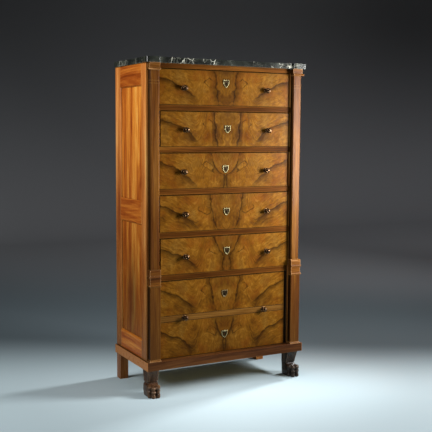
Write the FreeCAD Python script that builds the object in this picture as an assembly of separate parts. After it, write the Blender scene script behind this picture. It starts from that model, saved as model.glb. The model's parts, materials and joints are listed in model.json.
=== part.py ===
"""Walnut semainier with a marble top: a tall narrow chest of five single drawers over one deep
drawer, on carved paw feet.  Millimetres, +Z up, the front faces -Y, origin under the middle of
the chest on the floor.
"""
import FreeCAD, Part

import math
import os

Vector = FreeCAD.Vector

# ---------------------------------------------------------------- heights, from the floor up
foot_height = 124.0
plinth_height = 39.0
deep_opening_height = 355.0
rail_height = 24.0
opening_heights = (159.0, 160.0, 163.0, 168.0, 167.0)   # five drawer openings, top to bottom
top_rail_height = 20.0
marble_thickness = 25.0

# ---------------------------------------------------------------- carcass, in plan
case_width = 797.0
case_depth = 356.0
post_width = 56.5            # front corner posts, across the front
post_depth = 56.0            # front corner posts and front rails, front to back
rear_post_width = 40.0
rear_post_depth = 58.0
rear_foot_depth = 44.0
side_thickness = 22.0
back_thickness = 18.0

# ---------------------------------------------------------------- framed sides and back
side_top_rail = 97.0
side_bottom_rail = 88.0
side_middle_rail = 106.0
side_middle_height = 820.0   # centre of the middle rails above the floor
panel_thickness = 9.0
panel_recess = 8.0           # face of the frame to face of the panel
groove_depth = 8.0
panel_edge_clearance = 0.5
bevel_width = 5.0
back_rail_height = 90.0
muntin_width = 60.0
tenon_length = 15.0
tenon_shoulder = 6.0

# ---------------------------------------------------------------- plinth and boards
plinth_front_reach = 32.0    # in front of the case
plinth_side_reach = 8.5      # beyond the case sides
plinth_bar_thickness = 30.0
plinth_bevel = 3.0
board_thickness = 18.0
top_board_thickness = 12.0

# ---------------------------------------------------------------- marble top
marble_side_reach = 5.5
marble_front_reach = 20.0
marble_back_reach = 2.0
ear_front_reach = 36.0       # the ears over the pilasters step out past the slab
ear_side_reach = 10.0
ear_depth = 56.0
ear_inner_setback = 1.0      # inner face of an ear, outside the opening
ear_radius = 12.0
ear_back_radius = 5.5
marble_bevel = 1.5

# ---------------------------------------------------------------- pilasters and their mouldings
upper_shaft_inset = 9.5      # in from the case side
upper_shaft_reach = 20.0     # out from the case front
upper_shaft_chamfer = 6.0
neck_ring_drops = (55.0, 43.0)   # tops of the rings below the capital
neck_ring_size = 3.0
neck_ring_reach = 1.4
lower_shaft_inset = 6.5
lower_shaft_reach = 27.0
lower_shaft_chamfer = 1.5
capital_height = 32.0
capital_bead = 10.0
capital_reach = 3.0
capital_bead_reach = 9.0
collar_bottom = 499.0
collar_height = 75.0
collar_bead = 11.0
collar_bead_reach = 4.0
collar_recess_height = 27.0
collar_bevel = 2.0
base_height = 8.0
base_reach = 4.0

# ---------------------------------------------------------------- drawers
front_thickness = 22.0
front_side_gap = 8.0         # drawer to post, at each side
front_top_gap = 3.0
front_bottom_gap = 1.0
front_bevel = 1.0
front_shifts = (-5.5, 3.5, -5.5, 1.0, 4.0)   # each drawer sits a little to one side
deep_front_side_gap = 16.5
deep_front_shift = -5.5
cheek_setback = 14.0         # of the cheeks beside the deep drawer
lining_thickness = 10.0
lining_top_gap = 8.0
lining_lap = 8.0             # front left in front of the dovetails
back_board_drop = 10.0       # drawer back below the drawer sides
drawer_back_gap = 10.0       # drawer back to the back frame
bottom_thickness = 7.0
bottom_rise = 9.0
bottom_groove = 5.0
dovetail_pitch = 46.0
dovetail_root_share = 0.26
dovetail_end_share = 0.34
runner_bearing = 24.0        # under the drawer side
guide_height = 22.0
guide_clearance = 1.0
running_clearance = 0.3
stop_length = 40.0
stop_depth = 26.0
stop_height = 7.0
stop_offset = 170.0
band_centre = 343.0          # false rail across the deep front
band_height = 28.0
band_groove_width = 2.0
band_groove_depth = 1.5

# ---------------------------------------------------------------- fittings
knob_offset = 213.0
deep_knob_offset = 208.0
knob_drop = 5.0
knob_radius = 12.5
knob_reach = 27.0
knob_foot_radius = 10.0
knob_neck_radius = 5.5
knob_neck_reach = 6.0
knob_sides = 14
knob_shank_width = 6.0       # square, so that the knob can't turn
escutcheon_rises = (21.0, 0.0, 5.0, 0.0, 10.0)
escutcheon_width = 30.0
escutcheon_height = 36.0
escutcheon_thickness = 1.4
deep_keyhole_drop = 81.0     # below the top of the opening
false_keyhole_height = 246.0
keyhole_radius = 3.4
keyhole_sides = 8
keyhole_slot_width = 3.4
keyhole_slot_length = 11.0
lock_width = 56.0
lock_thickness = 12.0
lock_height = 102.0
bolt_width = 26.0
bolt_thickness = 7.0
bolt_length = 44.0
bolt_travel = 7.0
bolt_clearance = 0.3
mortise_clearance = 1.5

# ---------------------------------------------------------------- feet
toe_reach = 43.0             # in front of the case
side_toe_reach = 21.0
toe_radius = 12.0
toe_pitch = 25.0             # between the two middle toes
side_toe_pitch = 41.0        # between the two outermost toes
toe_height = 60.0
toe_sides = 10
paw_inset = 29.0             # middle of the foot, in from the case side
leg_width = 59.0
leg_front_reach = 12.0
leg_back_depth = 50.0        # behind the case front
leg_corner = 4.0
ankle_height = 66.0
ankle_front_recess = 15.0
ankle_side_recess = 6.0
heel_recess = 4.0
fur_groove_width = 5.0
fur_groove_depth = 2.5
fur_groove_pitch = 14.0

# ---------------------------------------------------------------- cutters
cutter_margin = 1.0          # that a cutter runs past the face it cuts

# ---------------------------------------------------------------- derived places
overall_depth = toe_reach + case_depth + marble_back_reach
front = -overall_depth / 2 + toe_reach           # face of the rails and drawer fronts
back = front + case_depth
plinth_top = foot_height + plinth_height
deep_opening_top = plinth_top + deep_opening_height
case_top = deep_opening_top + 5 * rail_height + sum(opening_heights) + top_rail_height
case_half = case_width / 2
opening_half = case_half - post_width
side_inner = case_half - side_thickness
drawer_length = case_depth - back_thickness - drawer_back_gap
rear_inner = case_half - rear_post_width
post_back = front + post_depth
rear_post_front = back - rear_post_depth


def block(x0, x1, y0, y1, z0, z1):
    """A box between two corners."""
    return Part.makeBox(x1 - x0, y1 - y0, z1 - z0, Vector(x0, y0, z0))


def prism(points, sweep):
    """A polygon swept along a vector."""
    corners = [Vector(*point) for point in points]
    return Part.Face(Part.makePolygon(corners + corners[:1])).extrude(Vector(*sweep))


def stacked(rings):
    """A solid with flat faces through rings of corners, one after another."""
    faces = [Part.Face(Part.makePolygon(ring + ring[:1])) for ring in (rings[0], rings[-1])]
    for lower, upper in zip(rings, rings[1:]):
        for index in range(len(lower)):
            corners = [lower[index - 1], lower[index], upper[index], upper[index - 1]]
            faces.append(Part.Face(Part.makePolygon(corners + corners[:1])))
    return Part.makeSolid(Part.makeShell(faces))


def turned(axis_start, axis, across, sides, profile):
    """A turned form with a set number of sides, through (radius, distance) steps along an axis."""
    upright = axis.cross(across)
    rings = []
    for radius, distance in profile:
        ring = []
        for index in range(sides):
            angle = 2 * math.pi * (index + 0.5) / sides
            spoke = across * math.cos(angle) + upright * math.sin(angle)
            ring.append(axis_start + axis * distance + spoke * radius)
        rings.append(ring)
    return stacked(rings)


def mirrored(shape):
    """The same shape on the other side of the chest."""
    return shape.mirror(Vector(0, 0, 0), Vector(1, 0, 0))


def group(shapes):
    """Separate solids that share one node."""
    return Part.makeCompound(shapes)


def drawer_opening_levels():
    """Bottom and top of the five single openings, top drawer first."""
    levels = []
    top = case_top - top_rail_height
    for height in opening_heights:
        levels.append((top - height, top))
        top -= height + rail_height
    return levels


def all_openings():
    """Bottom and top of the six openings, the deep drawer last."""
    return drawer_opening_levels() + [(plinth_top, deep_opening_top)]


# ================================================================ outlines with rounded corners
def rounded_outline(corners, height):
    """A closed wire at one height through (x, y, radius) corners, each rounded by its radius."""
    count = len(corners)
    starts = []
    ends = []
    middles = []
    for index in range(count):
        x, y, radius = corners[index]
        here = Vector(x, y, height)
        before = Vector(corners[index - 1][0], corners[index - 1][1], height) - here
        after = Vector(corners[(index + 1) % count][0], corners[(index + 1) % count][1], height) - here
        before.normalize()
        after.normalize()
        if radius == 0:
            starts.append(here)
            ends.append(here)
            middles.append(None)
            continue
        half_angle = before.getAngle(after) / 2
        reach = radius / math.tan(half_angle)
        middle_way = before + after
        middle_way.normalize()
        centre = here + middle_way * (radius / math.sin(half_angle))
        starts.append(here + before * reach)
        ends.append(here + after * reach)
        middles.append(centre - middle_way * radius)
    edges = []
    for index in range(count):
        if middles[index] is not None:
            edges.append(Part.Arc(starts[index], middles[index], ends[index]).toShape())
        following = starts[(index + 1) % count]
        if (following - ends[index]).Length > 1e-6:
            edges.append(Part.makeLine(ends[index], following))
    return Part.Wire(edges)


# ================================================================ marble
def marble_slab():
    """The slab, with rounded ears that step out over the two pilasters."""
    slab_side = case_half + marble_side_reach
    slab_front = front - marble_front_reach
    slab_back = back + marble_back_reach
    ear_side = case_half + ear_side_reach
    ear_front = front - ear_front_reach
    ear_inner = opening_half - ear_inner_setback
    ear_back = ear_front + ear_depth
    step = ear_side - slab_side
    right = [
        (slab_side, slab_back, 0),
        (slab_side, ear_back, 0),
        (ear_side, ear_back, min(ear_back_radius, step * 0.9)),
        (ear_side, ear_front, ear_radius),
        (ear_inner, ear_front, ear_radius),
        (ear_inner, slab_front, 0),
    ]
    left = [(-x, y, radius) for x, y, radius in reversed(right)]
    slab = Part.Face(rounded_outline(right + left, case_top)).extrude(Vector(0, 0, marble_thickness))
    rims = [
        edge for edge in slab.Edges
        if edge.BoundBox.ZMin > case_top + marble_bevel and edge.BoundBox.YMin < slab_back
    ]
    return slab.makeChamfer(marble_bevel, rims)


def top_board():
    """The softwood board that carries the slab."""
    return block(-side_inner, side_inner, post_back, back - back_thickness,
                 case_top - top_board_thickness, case_top).cut(group(rear_post_blanks()))


# ================================================================ posts
def post_blank():
    """The left front corner post, before its joints are cut."""
    return block(-case_half, -opening_half, front, post_back, plinth_top, case_top)


def rear_post_blank():
    """The left rear post, which runs down to the floor as a square foot."""
    upper = block(-case_half, -rear_inner, rear_post_front, back, plinth_top, case_top)
    foot = block(-case_half, -rear_inner, back - rear_foot_depth, back, 0, plinth_top)
    return upper.fuse(foot).removeSplitter()


def rear_post_blanks():
    """Both rear posts, before their joints are cut."""
    return [rear_post_blank(), mirrored(rear_post_blank())]


def corner_post():
    """The left front post with mortises for the front and side rails and grooves for the panels."""
    joints = front_rail_tenons() + side_rail_tenons() + side_panel_blanks(groove_depth)
    return post_blank().cut(group(joints)).cut(group(side_bevels()))


def rear_post():
    """The left rear post with its mortises and grooves."""
    joints = side_rail_tenons() + side_panel_blanks(groove_depth) + back_rail_tenons()
    joints += back_panel_blanks(groove_depth)
    return rear_post_blank().cut(group(joints)).cut(group(side_bevels()))


# ================================================================ framed sides
def side_rail_levels():
    """Bottom and top of the three rails of a side, lowest first."""
    middle = side_middle_rail / 2
    return [
        (plinth_top, plinth_top + side_bottom_rail),
        (side_middle_height - middle, side_middle_height + middle),
        (case_top - side_top_rail, case_top),
    ]


def side_openings():
    """Bottom and top of the two panel openings of a side."""
    levels = side_rail_levels()
    return [(levels[0][1], levels[1][0]), (levels[1][1], levels[2][0])]


def side_panel_blanks(margin):
    """The left side's two panels, grown by a margin into their grooves."""
    outer = -case_half + panel_recess
    return [
        block(outer, outer + panel_thickness, post_back - margin, rear_post_front + margin,
              low - margin, high + margin)
        for low, high in side_openings()
    ]


def side_rail_tenons():
    """Tenons at both ends of the left side's rails."""
    outer = -case_half + panel_recess
    tenons = []
    for low, high in side_rail_levels():
        tenons.append(block(outer, outer + panel_thickness, post_back - tenon_length,
                            rear_post_front + tenon_length, low + tenon_shoulder,
                            high - tenon_shoulder))
    return tenons


def side_bevels():
    """Cutters that bevel the frame round each panel of the left side."""
    cutters = []
    for low, high in side_openings():
        rings = []
        for depth, grow in ((-cutter_margin, bevel_width + cutter_margin), (bevel_width, 0)):
            x = -case_half + depth
            corners = [
                Vector(x, post_back - grow, low - grow),
                Vector(x, rear_post_front + grow, low - grow),
                Vector(x, rear_post_front + grow, high + grow),
                Vector(x, post_back - grow, high + grow),
            ]
            rings.append(Part.makePolygon(corners + corners[:1]))
        cutters.append(Part.makeLoft(rings, True, True))
    return cutters


def side_rails():
    """The left side's three rails, tenoned at both ends and grooved for the panels."""
    grooves = group(side_panel_blanks(groove_depth))
    bevels = group(side_bevels())
    rails = []
    for (low, high), tenon in zip(side_rail_levels(), side_rail_tenons()):
        rail = block(-case_half, -side_inner, post_back, rear_post_front, low, high)
        rails.append(rail.fuse(tenon).removeSplitter().cut(grooves).cut(bevels))
    return group(rails)


def side_panels():
    """The left side's two flat panels."""
    return group(side_panel_blanks(groove_depth - panel_edge_clearance))


# ================================================================ back
def back_rail_levels():
    """Bottom and top of the three back rails, lowest first."""
    half = back_rail_height / 2
    return [
        (foot_height, plinth_top + back_rail_height / 2),
        (side_middle_height - half, side_middle_height + half),
        (case_top - back_rail_height, case_top),
    ]


def back_rail_tenons():
    """Tenons of the back rails, through from post to post."""
    middle = back - back_thickness / 2
    return [
        block(-rear_inner - tenon_length, rear_inner + tenon_length,
              middle - panel_thickness / 2, middle + panel_thickness / 2,
              low + tenon_shoulder, high - tenon_shoulder)
        for low, high in back_rail_levels()
    ]


def back_panel_blanks(margin):
    """The four back panels, grown by a margin into their grooves."""
    levels = back_rail_levels()
    middle = back - back_thickness / 2
    panels = []
    for low, high in ((levels[0][1], levels[1][0]), (levels[1][1], levels[2][0])):
        for x0, x1 in ((-rear_inner, -muntin_width / 2), (muntin_width / 2, rear_inner)):
            panels.append(block(x0 - margin, x1 + margin, middle - panel_thickness / 2,
                                middle + panel_thickness / 2, low - margin, high + margin))
    return panels


def back_frame():
    """Three rails and two muntins behind the drawers."""
    grooves = group(back_panel_blanks(groove_depth))
    levels = back_rail_levels()
    pieces = []
    for (low, high), tenon in zip(levels, back_rail_tenons()):
        rail = block(-rear_inner, rear_inner, back - back_thickness, back, low, high)
        pieces.append(rail.fuse(tenon).removeSplitter().cut(grooves))
    for low, high in ((levels[0][1], levels[1][0]), (levels[1][1], levels[2][0])):
        muntin = block(-muntin_width / 2, muntin_width / 2, back - back_thickness, back, low, high)
        pieces.append(muntin.cut(grooves))
    return group(pieces)


def back_panels():
    """The four thin back panels."""
    return group(back_panel_blanks(groove_depth - panel_edge_clearance))


# ================================================================ rails, runners and stops
def front_rail_levels():
    """Bottom and top of the rails below the five single drawers."""
    return [(low - rail_height, low) for low, _ in drawer_opening_levels()]


def front_rail_tenons():
    """Tenons of the top rail and of the five drawer rails, from post to post."""
    levels = front_rail_levels() + [(case_top - top_rail_height, case_top)]
    return [
        block(-opening_half - tenon_length, opening_half + tenon_length,
              front + front_thickness, post_back - tenon_shoulder,
              low + tenon_shoulder, high - tenon_shoulder)
        for low, high in levels
    ]


def bolt_mortise(centre, rail_bottom):
    """The hole in the underside of a rail that a lock's bolt rises into."""
    half = bolt_width / 2 + mortise_clearance
    bolt_front, bolt_back = bolt_faces()
    return block(centre - half, centre + half, bolt_front - mortise_clearance,
                 bolt_back + mortise_clearance, rail_bottom - cutter_margin,
                 rail_bottom + bolt_travel - front_top_gap + mortise_clearance)


def tenoned_rail(low, high, tenon, lock_centre):
    """One rail across the front, with stub tenons and the mortise for the bolt below it."""
    rail = block(-opening_half, opening_half, front, post_back, low, high)
    return rail.fuse(tenon).removeSplitter().cut(bolt_mortise(lock_centre, low))


def top_rail():
    """The rail under the marble."""
    return tenoned_rail(case_top - top_rail_height, case_top, front_rail_tenons()[-1],
                        front_shifts[0])


def drawer_rails():
    """The five rails between the drawers; the lowest is set back at its ends."""
    centres = front_shifts[1:] + (deep_front_shift,)
    rails = []
    for (low, high), tenon, centre in zip(front_rail_levels(), front_rail_tenons(), centres):
        rails.append(tenoned_rail(low, high, tenon, centre))
    low, high = front_rail_levels()[-1]
    left, right = drawer_sides(deep_front_side_gap, deep_front_shift)
    for x0, x1 in ((-opening_half - cutter_margin, left), (right, opening_half + cutter_margin)):
        rebate = block(x0, x1, front - cutter_margin, front + cheek_setback,
                       low - cutter_margin, high + cutter_margin)
        rails[-1] = rails[-1].cut(rebate)
    return group(rails)


def drawer_sides(side_gap, shift):
    """Left and right faces of a drawer."""
    half = opening_half - side_gap
    return shift - half, shift + half


def runner(low, side, drawer_face):
    """A bearing strip under one side of a drawer, with the guide beside it in one piece."""
    guide_face = drawer_face + side * guide_clearance
    inner = drawer_face - side * runner_bearing
    outer = side * side_inner
    profile = [
        (inner, post_back, low - rail_height),
        (outer, post_back, low - rail_height),
        (outer, post_back, low + guide_height),
        (guide_face, post_back, low + guide_height),
        (guide_face, post_back, low),
        (inner, post_back, low),
    ]
    return prism(profile, (0, rear_post_front - post_back, 0))


def runners():
    """Two runners for every single drawer, and two full cheeks beside the deep drawer."""
    pieces = []
    for (low, _), shift in zip(drawer_opening_levels(), front_shifts):
        left, right = drawer_sides(front_side_gap, shift)
        pieces += [runner(low, -1, left), runner(low, 1, right)]
    left, right = drawer_sides(deep_front_side_gap, deep_front_shift)
    for x0, x1 in ((-opening_half, left - guide_clearance), (right + guide_clearance, opening_half)):
        pieces.append(block(x0, x1, front + cheek_setback, rear_post_front, plinth_top,
                            deep_opening_top))
    return group(pieces)


def drawer_stops():
    """Two small blocks on each rail that the closed front comes up against."""
    near = front + front_thickness + running_clearance
    pieces = []
    for low, _ in all_openings():
        pieces.append(block(stop_offset - stop_length / 2, stop_offset + stop_length / 2,
                            near, near + stop_depth, low, low + stop_height))
    return group(pieces + [mirrored(piece) for piece in pieces])


# ================================================================ plinth
def plinth():
    """A wide front bar and two side bars under the case."""
    outer = case_half + plinth_side_reach
    face = front - plinth_front_reach
    seam = front + plinth_bar_thickness
    bar = block(-outer, outer, face, seam, foot_height, plinth_top)
    arris = [
        edge for edge in bar.Edges
        if edge.BoundBox.ZMin > plinth_top - 0.01 and edge.BoundBox.YMax < face + 0.01
    ]
    bar = bar.makeChamfer(plinth_bevel, arris)
    side = block(-outer, -outer + plinth_bar_thickness, seam, back, foot_height, plinth_top)
    side = side.cut(rear_post_blank())
    return group([bar, side, mirrored(side)])


def bottom_board():
    """The board that closes the case below the deep drawer."""
    edge = case_half + plinth_side_reach - plinth_bar_thickness
    return block(-edge, edge, front + plinth_bar_thickness, back - back_thickness,
                 plinth_top - board_thickness, plinth_top).cut(group(rear_post_blanks()))


# ================================================================ pilasters
def upper_shaft_plan(grow, low, high):
    """A length of the left upper shaft with chamfered front edges, grown all round."""
    outer = -case_half + upper_shaft_inset - grow
    inner = -opening_half
    face = front - upper_shaft_reach - grow
    cut = upper_shaft_chamfer
    points = [
        (outer, front, low),
        (outer, face + cut, low),
        (outer + cut, face, low),
        (inner - cut, face, low),
        (inner, face + cut, low),
        (inner, front, low),
    ]
    return prism(points, (0, 0, high - low))


def pilaster():
    """The left pilaster: a slim upper shaft with two neck rings, and a stouter lower shaft."""
    head = case_top - capital_height
    upper = upper_shaft_plan(0, collar_bottom + collar_height, head)
    for drop in neck_ring_drops:
        ring = upper_shaft_plan(neck_ring_reach, head - drop - neck_ring_size, head - drop)
        upper = upper.fuse(ring)
    lower = block(-case_half + lower_shaft_inset, -opening_half,
                  front - lower_shaft_reach, front, plinth_top + base_height, collar_bottom)
    edges = [
        edge for edge in lower.Edges
        if edge.BoundBox.YMax < front - lower_shaft_chamfer
        and edge.BoundBox.ZLength > lower_shaft_chamfer
    ]
    return group([upper, lower.makeChamfer(lower_shaft_chamfer, edges)])


def profile_edges(steps, place):
    """Edges through (height, reach, bulge) steps; a bulge bends the edge up to the next step."""
    edges = []
    for (low, start, bulge), (high, end, _) in zip(steps, steps[1:]):
        first = place(start, low)
        last = place(end, high)
        if bulge == 0:
            edges.append(Part.makeLine(first, last))
            continue
        middle = place((start + end) / 2 + bulge, (low + high) / 2)
        edges.append(Part.Arc(first, middle, last).toShape())
    return edges


def moulded_block(outer, inner, face, steps):
    """A block against the case front whose front and outer side carry the same moulding."""
    low = steps[0][0]
    high = steps[-1][0]
    margin = high - low
    near = face - margin
    outside = outer - margin

    def beside(reach, height):
        return Vector(outer - reach, front, height)

    def before(reach, height):
        return Vector(outside, face - reach, height)

    wall = profile_edges(steps, beside)
    wall += [
        Part.makeLine(beside(steps[-1][1], high), Vector(inner, front, high)),
        Part.makeLine(Vector(inner, front, high), Vector(inner, front, low)),
        Part.makeLine(Vector(inner, front, low), beside(steps[0][1], low)),
    ]
    elevation = Part.Face(Part.Wire(wall)).extrude(Vector(0, near - front, 0))
    nose = profile_edges(steps, before)
    nose += [
        Part.makeLine(before(steps[-1][1], high), Vector(outside, front, high)),
        Part.makeLine(Vector(outside, front, high), Vector(outside, front, low)),
        Part.makeLine(Vector(outside, front, low), before(steps[0][1], low)),
    ]
    section = Part.Face(Part.Wire(nose)).extrude(Vector(inner + margin - outside, 0, 0))
    return elevation.common(section)


def capital():
    """The block at the head of the left pilaster, over a half-round bead."""
    low = case_top - capital_height
    steps = [
        (low, capital_bead_reach - capital_bead / 2, capital_bead / 2),
        (low + capital_bead, capital_bead_reach - capital_bead / 2, 0),
        (low + capital_bead + 0.01, capital_reach, 0),
        (case_top, capital_reach, 0),
    ]
    return moulded_block(-case_half + upper_shaft_inset, -opening_half,
                         front - upper_shaft_reach, steps)


def collar():
    """The collar between the shafts: two beads, a flat between them and a bevelled ledge."""
    low = collar_bottom
    top = collar_bottom + collar_height
    recess = low + collar_bead
    upper_bead = recess + collar_recess_height
    steps = [
        (low, 0, collar_bead_reach),
        (recess, 0, 0),
        (upper_bead, 0, collar_bead_reach),
        (upper_bead + collar_bead, 0, 0),
        (upper_bead + collar_bead + 0.01, collar_bevel / 2, 0),
        (top - collar_bevel, collar_bevel / 2, 0),
        (top, -collar_bevel / 2, 0),
    ]
    return moulded_block(-case_half + lower_shaft_inset, -opening_half,
                         front - lower_shaft_reach, steps)


def base():
    """The hollow moulding that spreads the lower shaft on to the plinth."""
    steps = [
        (plinth_top, base_reach, 0),
        (plinth_top + base_height / 3, base_reach, -base_reach / 4),
        (plinth_top + base_height, 0, 0),
    ]
    return moulded_block(-case_half + lower_shaft_inset, -opening_half,
                         front - lower_shaft_reach, steps)


def pilaster_mouldings():
    """Capital, collar and base of the left pilaster."""
    return group([capital(), collar(), base()])


# ================================================================ paw feet
def leg_ring(centre, height, front_reach, side_recess, back_depth):
    """The leg's outline at one height: a rectangle with its corners cut off."""
    outer = centre - leg_width / 2 + side_recess
    inner = centre + leg_width / 2
    near = front - front_reach
    far = front + back_depth
    corners = [
        Vector(outer + leg_corner, near, height),
        Vector(inner - leg_corner, near, height),
        Vector(inner, near + leg_corner, height),
        Vector(inner, far - leg_corner, height),
        Vector(inner - leg_corner, far, height),
        Vector(outer + leg_corner, far, height),
        Vector(outer, far - leg_corner, height),
        Vector(outer, near + leg_corner, height),
    ]
    return corners


def leg(centre):
    """The leg, from a full square head in to the ankle and out again to the heel."""
    ankle_reach = leg_front_reach - ankle_front_recess
    shoulder = (foot_height + ankle_height) / 2
    rings = [
        leg_ring(centre, foot_height, leg_front_reach, 0, leg_back_depth),
        leg_ring(centre, shoulder, (leg_front_reach * 2 + ankle_reach) / 3,
                 ankle_side_recess / 3, leg_back_depth),
        leg_ring(centre, ankle_height, ankle_reach, ankle_side_recess, leg_back_depth),
        leg_ring(centre, ankle_height / 2, leg_front_reach, 0, leg_back_depth),
        leg_ring(centre, 0, leg_front_reach, heel_recess, leg_back_depth - heel_recess),
    ]
    return stacked(rings)


def toe(x, reach):
    """One toe with round ends, run back into the leg: a broad pad, a waist and a knuckle."""
    profile = [
        (toe_radius * 0.88, 0),
        (toe_radius, toe_height * 0.1),
        (toe_radius * 0.86, toe_height * 0.46),
        (toe_radius * 0.98, toe_height * 0.74),
        (toe_radius * 0.72, toe_height * 0.93),
        (toe_radius * 0.3, toe_height),
    ]
    rings = []
    for radius, height in profile:
        ring = []
        for index in range(toe_sides):
            angle = 2 * math.pi * (index + 0.5) / toe_sides
            end = front if angle < math.pi else front - reach + toe_radius
            ring.append(Vector(x + radius * math.cos(angle), end + radius * math.sin(angle), height))
        rings.append(ring)
    return stacked(rings)


def fur_grooves(centre):
    """V-shaped cuts down the front and the outer side of the leg, between its locks of fur."""
    half = fur_groove_width / 2
    near = front - leg_front_reach
    outer = centre - leg_width / 2
    cutters = []
    for step in (-1, 0, 1):
        x = centre + step * fur_groove_pitch
        front_cut = [
            (x - half, near - cutter_margin, ankle_height),
            (x + half, near - cutter_margin, ankle_height),
            (x, near + fur_groove_depth, ankle_height),
        ]
        y = front + (leg_back_depth - leg_front_reach) / 2 + step * fur_groove_pitch
        side_cut = [
            (outer - cutter_margin, y - half, ankle_height),
            (outer - cutter_margin, y + half, ankle_height),
            (outer + fur_groove_depth, y, ankle_height),
        ]
        for cut in (front_cut, side_cut):
            cutters.append(prism(cut, (0, 0, foot_height - ankle_height)))
    return group(cutters)


def paw_foot():
    """The left front foot: a leg with cut fur over a paw of two middle and two side toes."""
    centre = -case_half + paw_inset
    foot = leg(centre).cut(fur_grooves(centre))
    for pitch, reach in ((toe_pitch, toe_reach), (side_toe_pitch, side_toe_reach)):
        foot = foot.fuse(toe(centre - pitch / 2, reach)).fuse(toe(centre + pitch / 2, reach))
    return foot


# ================================================================ drawers
def bolt_faces():
    """Front and back faces of a lock's bolt."""
    centre = front + front_thickness - lock_thickness / 2
    return centre - bolt_thickness / 2, centre + bolt_thickness / 2


def dovetailed_side(outer, side, low, high):
    """One drawer side, with dovetails at both ends; its outer face is flush with the front's end."""
    count = max(2, round((high - low) / dovetail_pitch))
    pitch = (high - low) / count
    root = pitch * dovetail_root_share
    end = pitch * dovetail_end_share
    shoulder = front + front_thickness
    tip = front + lining_lap
    rear = front + drawer_length
    rear_shoulder = rear - lining_thickness
    centres = [low + pitch * (index + 0.5) for index in range(count)]
    points = [(outer, shoulder, low), (outer, rear_shoulder, low)]
    for centre in centres:
        points += [
            (outer, rear_shoulder, centre - root),
            (outer, rear, centre - end),
            (outer, rear, centre + end),
            (outer, rear_shoulder, centre + root),
        ]
    points += [(outer, rear_shoulder, high), (outer, shoulder, high)]
    for centre in reversed(centres):
        points += [
            (outer, shoulder, centre + root),
            (outer, tip, centre + end),
            (outer, tip, centre - end),
            (outer, shoulder, centre - root),
        ]
    return prism(points, (-side * lining_thickness, 0, 0))


def dovetailed_sides(faces, low, high):
    """Both sides of a drawer."""
    left, right = faces
    return [dovetailed_side(left, -1, low, high), dovetailed_side(right, 1, low, high)]


def bottom_blank(faces, low):
    """A drawer bottom, grown into the grooves of the front and the sides."""
    left, right = faces
    inset = lining_thickness - bottom_groove
    rise = low + bottom_rise
    return block(left + inset, right - inset, front + front_thickness - bottom_groove,
                 front + drawer_length, rise, rise + bottom_thickness)


def drawer_linings(faces, low, high):
    """Two sides and a back, dovetailed, round the drawer bottom."""
    left, right = faces
    bottom = bottom_blank(faces, low)
    sides = dovetailed_sides(faces, low, high)
    rear = front + drawer_length
    rear_board = block(left, right, rear - lining_thickness, rear,
                       low + bottom_rise + bottom_thickness, high - back_board_drop)
    rear_board = rear_board.cut(group(sides))
    return group([side.cut(bottom) for side in sides] + [rear_board])


def keyhole(centre, height):
    """A keyhole from the face of the escutcheon into the lock."""
    near = front - escutcheon_thickness - cutter_margin
    barrel = turned(Vector(centre, near, height), Vector(0, 1, 0), Vector(1, 0, 0), keyhole_sides,
                    [(keyhole_radius, 0), (keyhole_radius, front_thickness)])
    half = keyhole_slot_width / 2
    slot = block(centre - half, centre + half, near, near + front_thickness,
                 height - keyhole_slot_length, height)
    return barrel.fuse(slot)


def front_board(faces, low, high, lining_levels):
    """A drawer front with a bevelled face, sockets for the dovetails and a groove."""
    left, right = faces
    board = block(left, right, front, front + front_thickness, low, high)
    rim = [edge for edge in board.Edges if edge.BoundBox.YMax < front + 0.01]
    board = board.makeChamfer(front_bevel, rim)
    board = board.cut(group(dovetailed_sides(faces, *lining_levels)))
    return board.cut(bottom_blank(faces, lining_levels[0]))


def lock_blank(centre, top):
    """The block that a lock fills in the back of a front."""
    rear = front + front_thickness
    half = lock_width / 2
    return block(centre - half, centre + half, rear - lock_thickness, rear, top - lock_height, top)


def lock_body(centre, key_height, top):
    """The lock, with a channel for its bolt and the keyhole through its front."""
    bolt_front, bolt_back = bolt_faces()
    slack = bolt_width / 2 + bolt_clearance
    channel = block(centre - slack, centre + slack, bolt_front - bolt_clearance,
                    bolt_back + bolt_clearance, top - bolt_length - bolt_clearance,
                    top + cutter_margin)
    body = lock_blank(centre, top).cut(channel)
    return body.cut(keyhole(centre, key_height))


def bolt(centre, top):
    """The lock's bolt, level with the top of the lock when drawn."""
    bolt_front, bolt_back = bolt_faces()
    return block(centre - bolt_width / 2, centre + bolt_width / 2, bolt_front, bolt_back,
                 top - bolt_length, top)


def escutcheon(centre, height):
    """A shield-shaped brass plate with a small peak, pierced by the keyhole."""
    half = escutcheon_width / 2
    rise = escutcheon_height / 2

    def at(x, z):
        return Vector(centre + x, front, height + z)

    edges = []
    for side in (1, -1):
        edges += [
            Part.makeLine(at(0, rise), at(side * half * 0.3, rise * 0.78)),
            Part.makeLine(at(side * half * 0.3, rise * 0.78), at(side * half * 0.92, rise * 0.92)),
            Part.Arc(at(side * half * 0.92, rise * 0.92), at(side * half, rise * 0.3),
                     at(side * half * 0.82, -rise * 0.3)).toShape(),
            Part.Arc(at(side * half * 0.82, -rise * 0.3), at(side * half * 0.46, -rise * 0.72),
                     at(0, -rise)).toShape(),
        ]
    outline = Part.Wire(Part.sortEdges(edges)[0])
    plate = Part.Face(outline).extrude(Vector(0, -escutcheon_thickness, 0))
    return plate.cut(keyhole(centre, height))


def knob_shank(x, z):
    """The square shank that runs through the front."""
    half = knob_shank_width / 2
    return block(x - half, x + half, front, front + front_thickness, z - half, z + half)


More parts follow.
